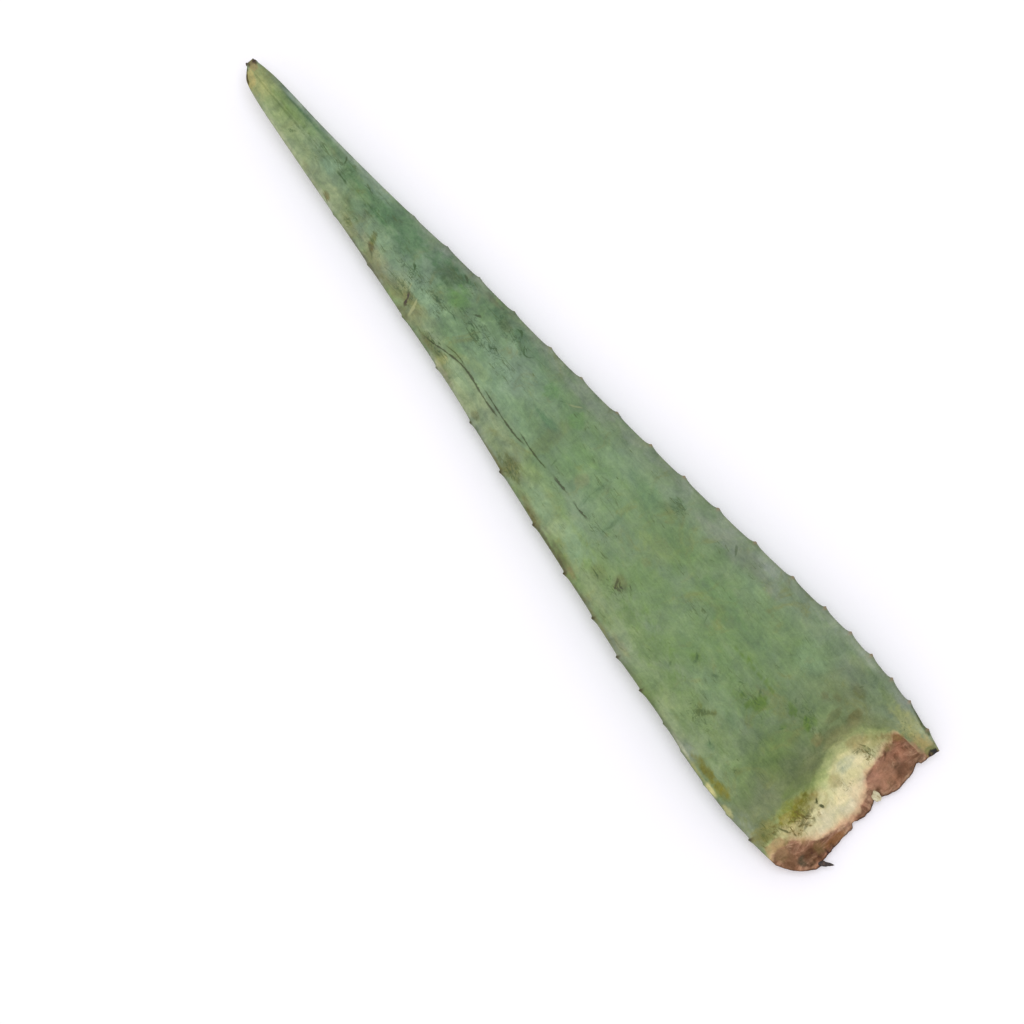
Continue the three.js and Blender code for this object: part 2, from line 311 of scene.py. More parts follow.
def makeLeaf():
    places, openness = rowStations()
    steps = leafMesh["acrossSteps"]
    rows, around = len(places) - 1, 2 * steps
    leaf, flat = gridPiece("aloeLeaf", rows, around)
    mesh = leaf.data
    row = np.rint((flat[:, 0] + 0.5) * rows).astype(int)
    column = np.rint((flat[:, 1] + 0.5) * around).astype(int)
    onTop = column <= steps
    q = np.where(onTop, column, around - column) / steps
    across = mix(np.cos(math.pi * q), 1 - 2 * q, leafMesh["evenness"])

    # rows follow the torn edge at the base, and draw together at the teeth of each margin
    place = places[row]
    torn = curveThrough(baseEnd["tornEdge"], across)
    edge = np.stack([across * baseEnd["halfWidth"], place * 0, place * 0], 1)
    jag = clouds(edge, (2.6, 1), 1) + 0.6 * clouds(edge, (1.1, 1), 2)
    torn = torn + baseEnd["jags"] * jag
    along = np.where(place < baseEnd["reach"], mix(torn, baseEnd["reach"], place / baseEnd["reach"]), place)
    leftward = smoothstep(0.2, 1, across)
    rightward = smoothstep(0.2, 1, -across)
    held = smoothstep(20, 40, along) * (1 - smoothstep(440, 480, along))
    pulled = along + leftward * (crowdedRows(along, teeth["left"]) - along) * held
    pulled += rightward * (crowdedRows(along, teeth["right"]) - along) * held
    along = pulled

    left = curveThrough(leafShape["outline"], along, 1)
    right = curveThrough(leafShape["outline"], along, 2)
    outLeft, nearLeft = toothAt(along, "left")
    outRight, nearRight = toothAt(along, "right")
    spur = np.abs(across) ** leafShape["toothDepth"]
    broad = np.abs(across) ** leafShape["scoopDepth"]
    out = np.where(across > 0, outLeft, outRight)
    near = np.where(across > 0, nearLeft, nearRight)
    dip = np.minimum(out, 0) * broad + np.maximum(out, 0) * spur
    middle = (left - right) / 2
    side = middle + across * (left + right) / 2 + np.sign(across) * dip
    lean = np.where(across > 0, leafShape["spurs"]["left"]["lean"], leafShape["spurs"]["right"]["lean"])
    along = along + lean * near * spur * (out > 0)

    pastFold = along - curveThrough(baseEnd["foldLine"], across)
    pastDried = along - curveThrough(baseEnd["driedLine"], across)
    fromTear = along - torn

    bottom, top = bladeSection(along, across)
    top = sheathTop(along, across, bottom, top)
    inner = (1 - across**4).clip(0, 1)
    points = np.stack([along, side, np.where(onTop, 30, 0)], 1)
    top += inner * (
        baseEnd["roll"] * bump(pastFold, -4.5, 4)
        - baseEnd["trough"] * bump(pastFold, 5, 3.8)
        - 1.2 * bump(along, 46, 5) * bump(side, -26, 5)
        - 0.3 * bump(side, -4, 1.6) * smoothstep(60, 72, along) * (1 - smoothstep(110, 150, along))
        - 0.3 * bump(side, curveThrough([(360, -0.5), (420, 0.5), (480, 1.8), (500, 2)], along), 0.7)
        * smoothstep(365, 400, along)
        + 0.5 * clouds(points, (70, 28), 3)
        + 0.2 * clouds(points, (24, 9), 4)
        + 0.06 * clouds(points, (60, 2.8), 5)
    )
    sheathness = 1 - smoothstep(-12, -2, pastFold)
    driedness = 1 - smoothstep(-1.5, 1, pastDried)
    wrinkles = 0.25 * clouds(points, (4.5, 3), 6) + 0.15 * clouds(points, (1.8, 1.6), 7)
    edgeCurl = 0.8 * bump(fromTear, 0, 2.5) * clouds(points, (40, 7), 9)
    curl = driedness * (0.5 * clouds(points, (9, 12), 8) + edgeCurl)
    lift = sheathness * wrinkles * (1 + driedness) + curl - 0.25 * driedness
    lift *= 1 - np.abs(across) ** 60  # the face and the underside meet along the margins
    top += lift
    bottom += lift * (1 - smoothstep(8, 25, fromTear))
    bottom += 0.25 * inner * clouds(points, (40, 14), 10)

    # the face and the underside draw together at both ends
    order = np.zeros((rows + 1, around + 1), int)
    order[row, column] = np.arange(len(row))
    middle = (top + bottom) / 2
    facing = middle[order[row, around - column]]
    middle = mix((middle + facing) / 2, middle, openness[row])
    half = (top - bottom) / 2 * openness[row]
    height = middle + np.where(onTop, half, -half)
    height = height.clip(0, None)

    placePoints(leaf, along, side, height)
    setAttribute(mesh, "across", across)
    setAttribute(mesh, "pastFold", pastFold)
    setAttribute(mesh, "pastDried", pastDried)
    setAttribute(mesh, "fromTear", fromTear)
    brown = leafShape["tipBrown"]
    tipward = np.abs(across) ** np.where(onTop, brown["face"], brown["back"])
    setAttribute(mesh, "toothward", near**2 * tipward * np.where(across > 0, brown["left"], brown["right"]))
    setAttribute(mesh, "topside", onTop * 1.0)
    paintMarks(mesh, along, side, points, onTop)
    traceCracks(mesh, along, side, onTop)
    traceStrokes(mesh, along, side, onTop)

    # close the seam along the left margin and the slits at both ends; with all quads split the same way, the
    # two sides never share a diagonal at a corner
    closeMesh(mergeWithin=0.000002, splitQuads=True)
    return leaf


def linear(code):
    # an sRGB hex colour, as the shader nodes want it
    channels = [int(code[i : i + 2], 16) / 255 for i in (1, 3, 5)]
    return [c / 12.92 if c <= 0.04045 else ((c + 0.055) / 1.055) ** 2.4 for c in channels] + [1.0]


# Marks on the leaf, painted on the mesh. Each patch is along, side, half length, half width, turn in degrees,
# tint and strength; a later patch covers an earlier one.
marks = {
    "tints": {
        "shade": "#4d6b4c", "deep": "#5a7a56", "moss": "#5f7a35", "fresh": "#648a4e", "bloom": "#86a07c",
        "lime": "#84965a", "olive": "#6a7140", "pale": "#9aa87e", "mauve": "#85907e", "mustard": "#7d7a34",
        "straw": "#a9ab74", "tan": "#8f8e63", "brown": "#665f3a", "khaki": "#878330", "bile": "#66631a",
        "reed": "#7d784a", "bruise": "#ab9d6b", "sand": "#b3966c", "milk": "#bec3a6", "butter": "#dcd29a",
        "bronze": "#968459", "umber": "#5f4534", "rust": "#8a6242", "rose": "#a97e66", "plum": "#745342",
        "taupe": "#80624c", "ash": "#5a5142", "orange": "#b5a76b", "coal": "#1e1c12", "char": "#48372b",
        "grass": "#6b8848", "thicket": "#4c5432", "chalk": "#cfc98e", "cream": "#e6dcb9",
        "drab": "#8a8752", "blush": "#c08f7a", "mist": "#8ba587", "haze": "#8b9a8c", "dusk": "#6f7466",
    },
    "patches": [
        # the strip along the left margin
        (104, 46.5, 13, 3, -3, "pale", 0.5), (62, 48.6, 6.5, 4, 0, "mustard", 1.0),
        (72.5, 48.8, 11, 2.6, 0, "mustard", 1.0), (64.5, 52.6, 5, 1.6, -4, "chalk", 1.0),
        (76, 52, 12, 1, -4, "straw", 0.8), (50, 53, 5, 1.6, 0, "chalk", 0.6),
        (91, 50.4, 9, 1, -5, "milk", 0.7), (112, 38, 12, 5, -4, "pale", 0.4),
        (108, 45.6, 13, 2.4, -6, "pale", 0.5), (150, 42.2, 9, 2.4, -7, "tan", 0.5),
        (205, 36.9, 22, 2.4, -8, "ash", 0.45), (190, 34, 26, 3.5, -7, "pale", 0.4),
        (165, 43.5, 16, 1.0, -7, "tan", 0.5), (210, 38.4, 30, 1.6, -8, "ash", 0.8),
        (195, 38, 6, 1.6, -8, "bronze", 0.4), (232, 34, 10, 2.4, -8, "reed", 0.6),
        (256, 28.5, 8, 5.5, -8, "olive", 0.85), (257, 26, 4, 5, 0, "brown", 0.25),
        (264, 32, 12, 1.6, -8, "brown", 0.6), (300, 23, 16, 4, -8, "pale", 0.9),
        (275, 27, 8, 3, -8, "pale", 0.4), (282, 19, 24, 3, -7, "pale", 0.5),
        (341, 12, 7, 4, 0, "pale", 0.4), (305, 19.5, 12, 3, -5, "bloom", 0.5),
        (288, 25, 3, 2, 0, "brown", 0.5), (321, 21, 3.4, 4, 0, "straw", 0.75),
        (315, 24, 8, 1.4, -8, "brown", 0.6), (328, 20, 12, 3, -6, "olive", 0.7),
        (333, 21, 6, 2, 0, "brown", 0.45), (346, 16, 6, 5, 0, "tan", 0.4),
        (361, 15, 12, 5, -4, "reed", 0.55), (353, 20.4, 5, 1.4, -5, "brown", 0.45),
        (366, 9, 8, 5, 0, "pale", 0.4), (380, 16.5, 11, 3, -5, "brown", 0.5),
        (384, 12.5, 15, 5, -5, "tan", 0.5), (402, 13.5, 9, 3, -6, "tan", 0.45),
        (142, 45.8, 62, 2.4, -5.9, "ash", 0.22), (310, 25, 24, 1.6, -8, "milk", 0.3),
        # (452, 12.4) is painted light along the left margin of the upper leaf, where its rounded edge falls
        # into shade
        (452, 12.4, 46, 2.2, -4.6, "milk", 0.5), (385, 18.4, 14, 0.8, -6, "ash", 0.5),
        # the blade behind the fold; the brown patches at along 46 to 48 are partly painted shade in the
        # trough there
        (47.5, -12, 3, 8, 0, "brown", 0.3), (46.6, -27, 4, 6, 0, "brown", 0.35),
        (40, 2, 3.4, 5, 0, "thicket", 0.2), (35, 22, 3, 8, 0, "lime", 0.3),
        (47, -28, 2.8, 7, 0, "brown", 0.4), (49.5, -5, 4, 4, 0, "bronze", 0.4),
        (60, -31, 13, 8, 0, "olive", 0.3), (54, -20, 3, 6, 0, "brown", 0.35),
        (65, -22.5, 3, 2.4, 0, "brown", 0.4), (60, -27, 3, 2, 0, "brown", 0.35),
        (55, -37.5, 4, 3, 0, "olive", 0.65), (66, -46, 7, 3, 0, "lime", 0.3),
        (60, 18, 10, 22, 0, "lime", 0.12), (88, 11, 15, 9, 0, "grass", 0.4),
        (59, -9.5, 3.4, 3, 0, "moss", 0.5), (80, 33, 14, 6, 0, "lime", 0.25),
        # moss green blots down the middle
        (58, -5.4, 2.4, 1.4, 0, "moss", 0.9), (61.6, -8, 2, 1.4, 0, "moss", 0.9),
        (68.5, -4.6, 2.6, 2, 0, "moss", 0.9), (72, -6, 2, 1.3, 0, "moss", 0.7),
        (85, -3.4, 2.6, 1.2, 0, "moss", 0.7), (89.5, -4, 2, 1.2, 0, "moss", 0.7),
        (94, -3.3, 2.4, 1, 0, "moss", 0.7), (99, -2.8, 2, 1, 0, "moss", 0.6),
        (103.5, -4, 2, 1.2, 0, "moss", 0.8), (108, -3.4, 2.4, 1, 0, "moss", 0.7),
        (112, -3.4, 2, 0.9, 0, "moss", 0.6), (66, 4.5, 2, 2, 0, "moss", 0.6),
        (83, 6, 3.6, 4.6, 0, "moss", 0.95), (86, 10, 2.4, 3, 0, "moss", 0.9),
        (91.5, 9.4, 2.4, 1.6, 0, "moss", 0.6),
        # the rest of the blade
        (97, 30.5, 5.5, 2, 45, "olive", 0.8), (101.5, 29.7, 2, 1.5, 0, "olive", 0.8),
        (94, 26.6, 2, 1.3, 0, "olive", 0.8), (82, 38.5, 3, 2, 0, "deep", 0.55),
        (63, 36, 3, 2, 0, "olive", 0.4), (121.5, 16, 3.2, 3.4, 0, "moss", 0.65),
        (148, 14, 44, 15, -3, "grass", 0.4), (190, -6, 22, 8, 0, "grass", 0.25),
        (66, 10, 10, 10, 0, "grass", 0.2), (85, -29, 11, 8, 0, "bloom", 0.4),
        (110, -15, 13, 8, 0, "deep", 0.25), (92, 12, 5, 2, 0, "moss", 0.35),
        (104, 33, 24, 9, -5, "grass", 0.35), (145, 29, 30, 9, -6, "grass", 0.55),
        (150, -35, 28, 5, 5, "dusk", 0.4), (62, -42, 12, 6, 0, "dusk", 0.3),
        (136, -13, 18, 9, 0, "fresh", 0.35), (130, -29, 11, 4, 0, "bloom", 0.3),
        (125, -37, 12, 4, 0, "mauve", 0.5), (100, 21, 22, 6, 0, "bloom", 0.25),
        (162, -34, 18, 5, 4, "mauve", 0.5), (175, 22, 5, 4, -25, "brown", 0.45),
        (187, 27, 6, 3.6, 0, "olive", 0.45), (175, 5, 3, 2, 0, "brown", 0.35),
        (176, -2, 15, 8, 0, "lime", 0.4), (188, -22, 8, 5, 0, "olive", 0.45),
        (187, -25, 6, 4, 0, "deep", 0.5), (200, -18, 14, 6, 0, "deep", 0.5),
        (205, 27, 13, 7, -6, "bloom", 0.85), (232, 27, 11, 6, -6, "bloom", 0.65),
        (222, -31, 26, 3.4, 8, "mauve", 0.6), (225, -15, 16, 8, 6, "bloom", 0.3),
        (228, 4, 4, 5, 0, "tan", 0.4), (219, 4, 2.5, 8, 0, "deep", 0.35), (201, 6, 2, 8, 0, "deep", 0.35),
        (248, 21, 7, 5, 0, "lime", 0.45), (254.5, 6, 4.5, 18, 0, "olive", 0.3),
        (264, -1.6, 9, 2.2, 4, "deep", 0.85), (253, -14, 6, 5, 0, "fresh", 0.6),
        (273.5, -13, 5, 5, 0, "fresh", 0.7), (290, 9, 28, 6, 0, "bloom", 0.55),
        (262, -24, 22, 4, 6, "mauve", 0.5), (274, -13, 20, 6, 4, "deep", 0.3),
        (312, 14, 9, 2, 0, "olive", 0.25), (305, 9, 11, 3.4, 0, "lime", 0.35),
        (300, -17, 18, 5, 4, "deep", 0.6), (316, -17, 15, 4.4, 5, "shade", 0.8),
        (320, -5, 12, 4, 0, "bloom", 0.5), (327, -19, 7, 1.6, 6, "ash", 0.4),
        (313, -16, 5, 3.5, 0, "thicket", 0.45), (352, -10, 13, 8, 6, "shade", 1.0),
        (351, -9, 8, 5, 0, "thicket", 0.35), (349, 7, 11, 4, 0, "mist", 0.7),
        (305, -2, 15, 5, 0, "mist", 0.4), (238, 0, 10, 8, 0, "fresh", 0.3),
        (340, -7, 6.5, 6, 0, "fresh", 0.85), (345, 6, 15, 5, 0, "bloom", 0.5),
        (366, 1, 6, 5.5, 0, "deep", 0.45),
        # the upper leaf: yellowish and lighter left of the channel, bluish and darker right of it, partly its
        # own colour and partly painted light and painted shade on the channel's two walls
        (384, 6, 17, 5, 0, "bloom", 0.6), (412, 3, 8, 4, 0, "bloom", 0.5),
        (470, 0.6, 20, 1.8, 2, "lime", 0.4), (390, -6.5, 30, 7.5, 4, "deep", 1.0),
        (374, -2, 14, 4, 5, "deep", 0.6), (445, -5.2, 34, 2.2, 3, "deep", 0.6),
        (462, -4, 16, 0.8, 3, "shade", 0.7), (388.3, 12, 3, 1.7, -25, "brown", 0.95),
        (391, 8, 4, 1.8, -55, "olive", 0.9), (405, 13, 2.4, 1.8, 0, "olive", 0.95),
        (417, 9, 8, 5, -5, "olive", 0.3), (411, -9, 15, 4, 4, "haze", 0.4),
        (433.5, 3, 6, 6.5, 0, "mist", 0.9), (425, -3, 3.4, 5, 0, "deep", 0.5),
        (441, -1, 10, 3, 3, "bloom", 0.4), (464, -1.2, 28, 2.6, 3, "fresh", 0.28),
        (450, 8, 36, 5, -4.5, "pale", 0.6), (474, 6, 22, 4.5, -5.5, "lime", 0.25),
        (440, 12, 4, 1.6, -5, "brown", 0.3), (488, 4, 9, 5.5, -5, "straw", 0.7),
        (446, -7.8, 48, 1.7, 4.6, "haze", 0.55), (471, -5, 12, 1.3, 4, "haze", 0.6),
        (493, 6, 5, 2.8, -30, "orange", 0.75), (497, 0.6, 2.6, 2.2, 0, "bronze", 0.8),
        (422.6, 13.2, 2.8, 1.5, -20, "brown", 0.95), (499.2, 0.6, 1.4, 1.8, 0, "umber", 0.7),
        (499.9, 2.1, 1.5, 1.4, 0, "char", 0.9), (499, -1.5, 1.7, 1.1, 0, "char", 0.95),
        # the pale sheath
        (12, 4, 5, 5, 0, "cream", 0.8), (15, 15, 5, 5, 0, "cream", 0.5), (22, -8.5, 5, 5, 0, "butter", 0.6),
        (29.5, -10, 3.6, 7, 0, "milk", 0.6), (44, -18, 4.4, 15, 0, "tan", 0.5),
        (27.5, -6.6, 2, 2, 0, "mauve", 0.45), (26, 1, 4, 4, 0, "bruise", 0.6),
        (23, 30, 9, 19, 0, "bruise", 0.85), (28, 43.5, 6.4, 10, 0, "drab", 1.0),
        (27, 38.5, 3.4, 3, 0, "reed", 0.5), (30.5, 31, 4, 6, 0, "straw", 0.5),
        (28.4, 24, 5.6, 14, 0, "khaki", 1.0), (28.6, 19.5, 3.4, 6, 0, "bile", 0.55),
        (29.6, 16.8, 2.6, 3.8, 0, "bile", 0.95), (28, 14, 3.6, 2.6, 0, "bruise", 0.6),
        (28.4, 32.4, 2.6, 3, 0, "bruise", 0.35), (32.4, 29, 2.6, 6, 0, "lime", 0.5),
        (24.2, 24, 2.8, 6, 0, "khaki", 0.6), (31.6, 21, 2, 3, 0, "drab", 0.6),
        (22.2, 33.2, 2, 2.4, 20, "butter", 0.45), (18, 35, 4, 3, 30, "sand", 0.45),
        (12.4, 28, 2.6, 6, 0, "sand", 0.25), (10.4, 20, 2.6, 5, 0, "cream", 0.5),
        (16.5, 4, 4, 4, 0, "butter", 0.4), (27.4, 25.5, 3.4, 3, 0, "bile", 0.2),
        (25, 19, 4, 6, 0, "reed", 0.35), (32, 13, 3, 3.4, 0, "lime", 0.5), (32.4, 5, 3, 6, 0, "lime", 0.4),
        (20.6, 45.5, 3.4, 6.5, 0, "sand", 0.9), (34, -21, 6, 7, 0, "bruise", 0.8),
        (35, -21, 6, 8, 0, "tan", 0.3), (31, -28, 5, 4, 0, "drab", 0.5),
        (22.4, -18, 3, 4, 0, "butter", 0.5), (27, -24, 5, 3, 0, "straw", 0.5),
        (28, -30, 6, 6, 0, "reed", 0.35), (26, -36, 7, 2.4, 45, "bronze", 1.0),
        (23, -38.5, 5, 2, 30, "rust", 0.5), (15, -46, 9, 3.6, 0, "bruise", 1.0),
        (28, -47, 13, 5.5, 0, "straw", 0.8), (12, -49, 6, 3, 0, "bruise", 0.7),
        (42, -47, 9, 5, 0, "lime", 0.35), (38, 17, 4, 9, 0, "lime", 0.35),
        (21, -52.6, 15, 1.2, -8, "thicket", 0.95),
        # the dried skin
        (6, 42, 8, 12, 0, "taupe", 0.5), (10, 44, 6, 5, 0, "taupe", 0.7),
        (6.4, 46.4, 4.6, 3.6, 0, "umber", 0.5), (15, 45, 3, 4, 0, "rose", 0.7),
        (4.7, 39.5, 3.4, 2.8, 0, "ash", 0.95), (2.6, 32.4, 5, 6.4, 0, "umber", 1.0),
        (12.5, 38, 3, 3, 0, "plum", 0.6), (2.5, 19, 2.2, 7, 0, "rust", 0.9),
        (0.4, 36.4, 1.4, 3.6, -20, "char", 0.8), (0.6, 26.5, 1.8, 1, 0, "coal", 0.8),
        (0.8, 22.8, 1.8, 1, 0, "coal", 0.7), (5, 5, 2.4, 3, 0, "rose", 0.8),
        (12, -19, 6, 8, 0, "rose", 1.0), (13, -16, 6, 7, -20, "blush", 0.4),
        (9, -18, 4, 7, 0, "taupe", 0.2), (8, -29.5, 4, 6, 10, "plum", 0.8),
        (16.5, -22, 3.4, 4, 0, "rose", 0.8), (10.4, -24.6, 4, 3, 0, "rose", 0.6),
        (13, -36, 4, 3, 20, "rose", 0.4), (4.5, 28, 4, 3, 0, "bronze", 0.35),
        (14, 46, 4, 4, 0, "bronze", 0.35), (22.4, -32, 2, 3, 0, "bronze", 0.5),
        (13.6, -42.4, 5, 1.4, 8, "rose", 0.7), (8.5, -40, 3, 4, 10, "plum", 0.5),
        (11, -43, 4, 1.6, 10, "rose", 0.5), (17, -27, 5, 1.6, -50, "rose", 0.5),
        # (7.2, -13.8) is painted shadow under the lifted edge of the flake
        (19, -34, 6, 1, 20, "rose", 0.5), (7.2, -13.8, 3, 1.1, -15, "umber", 0.95),
        (7.8, -47.6, 2.6, 3.2, 0, "olive", 0.6), (5.9, -48.1, 2.3, 3, 0, "coal", 1.0),
    ],
    # along, side, half length, half width: where the skin is speckled, and how thickly
    "speckled": [
        (22, 27, 7, 15, 1.1), (21, 22, 6, 7, 1.6), (26, 43, 7, 11, 0.85), (26, -22, 6, 4, 1.0),
        (22, -2, 6, 4, 0.6), (27, -31, 6, 5, 0.6), (24, -45, 10, 4, 0.5), (60, -8, 14, 8, 0.6),
        (90, 8, 14, 5, 0.6), (95, 34, 14, 6, 0.6), (120, 14, 8, 6, 0.7), (140, 0, 16, 14, 0.3),
        (175, 26, 14, 5, 0.7), (185, 28, 8, 3, 0.6), (187, -24, 9, 6, 0.7), (205, 12, 12, 8, 0.5),
        (220, -3, 16, 10, 0.4), (320, -2, 18, 7, 1.0), (308, -15, 18, 5, 0.9), (345, -12, 12, 5, 0.7),
        (356, 4, 22, 8, 0.8), (296, 0, 16, 6, 0.6), (390, 2, 20, 8, 0.5), (428, -3, 10, 6, 0.5),
        (256, 29, 10, 5, 0.7), (328, 19, 16, 4, 0.8), (366, 13, 14, 5, 0.7), (395, 12, 20, 5, 0.7),
        (400, -6, 16, 5, 0.5), (445, 2, 20, 8, 0.4),
    ],
}


def patchReach(along, side, patch):
    # 0 at the middle of a patch, 1 at its rim
    centreAlong, centreSide, halfLong, halfWide, turn = patch
    angle = math.radians(turn)
    x, y = along - centreAlong, side - centreSide
    u = x * math.cos(angle) + y * math.sin(angle)
    w = -x * math.sin(angle) + y * math.cos(angle)
    return np.hypot(u / halfLong, w / halfWide)


def paintMarks(mesh, along, side, points, onTop):
    # tints are laid over each other and stored already multiplied by their cover
    wander = 0.5 * clouds(points, (11, 6), 11) + 0.35 * clouds(points, (3.6, 2.4), 12)
    wander += 0.3 * clouds(points, (1.7, 1.3), 13)
    tint = np.zeros((len(along), 3))
    cover = np.zeros(len(along))
    for *patch, name, strength in marks["patches"]:
        reach = patchReach(along, side, patch) + wander * min(1, max(0.55, patch[2] / 8))
        blur = min(1, max(0.35, patch[2] / 7))  # small patches have a crisper rim
        alpha = strength * (1 - smoothstep(1 - 0.55 * blur, 1 + 0.2 * blur, reach)) * onTop
        colour = np.array(linear(marks["tints"][name])[:3])
        tint = tint * (1 - alpha)[:, None] + colour * alpha[:, None]
        cover = cover * (1 - alpha) + alpha
    setAttribute(mesh, "marks", np.concatenate([tint, cover[:, None]], 1), "FLOAT_COLOR")
    speckled = np.zeros(len(along))
    for *patch, strength in marks["speckled"]:
        reach = patchReach(along, side, [*patch, 0]) + wander
        speckled = np.maximum(speckled, strength * (1 - smoothstep(0.4, 1.2, reach)) * onTop)
    setAttribute(mesh, "speckled", speckled)


farOff = 9.0  # mm from a line, well past its rim

# Healed cracks beside the left margin: the points that each runs through, and half its width
cracks = {
    "upper": [
        ([(210.5, 14.2), (217, 14.8), (223, 14.2)], 0.42),
        ([(227.5, 13.9), (234, 14.1), (240, 13.7)], 0.42),
        ([(244.5, 14.4), (250, 14.6), (258, 14.2), (264, 13.4), (270, 13.2)], 0.24),
        ([(280, 17), (290, 16.5), (298, 15.4), (304, 14.5), (310.5, 14.2), (316, 14.8), (324, 16.8),
          (331, 18.8), (338, 20.2)], 0.34),
    ],
    "lower": [
        ([(260.5, 15.3), (268, 15.9), (276, 15.5), (284, 14.6), (292, 13.6), (299, 13.2)], 0.28),
        ([(311, 13.4), (317, 12.8), (321, 13.3), (327, 14.8)], 0.15),
    ],
}


def traceCracks(mesh, along, side, onTop):
    # distance to the nearest strand and its half width there, which the skin draws as a dark line
    for name, strands in cracks.items():
        distance = np.full(len(along), farOff)
        width = np.zeros(len(along))
        shown = np.zeros(len(along))
        for points, halfWidth in strands:
            first, last = points[0][0], points[-1][0]
            near = (along > first - 3) & (along < last + 3)
            tail = min(9, 0.4 * (last - first))
            taper = smoothstep(first - 1, first + 3, along) * (1 - smoothstep(last - tail, last + 1, along))
            distance = np.where(near, side - curveThrough(points, along), distance)
            width = np.where(near, halfWidth, width)
            shown = np.where(near, taper, shown)
        values = np.stack([distance, width, 0 * width, shown * onTop], 1)
        setAttribute(mesh, name + "Crack", values, "FLOAT_COLOR")


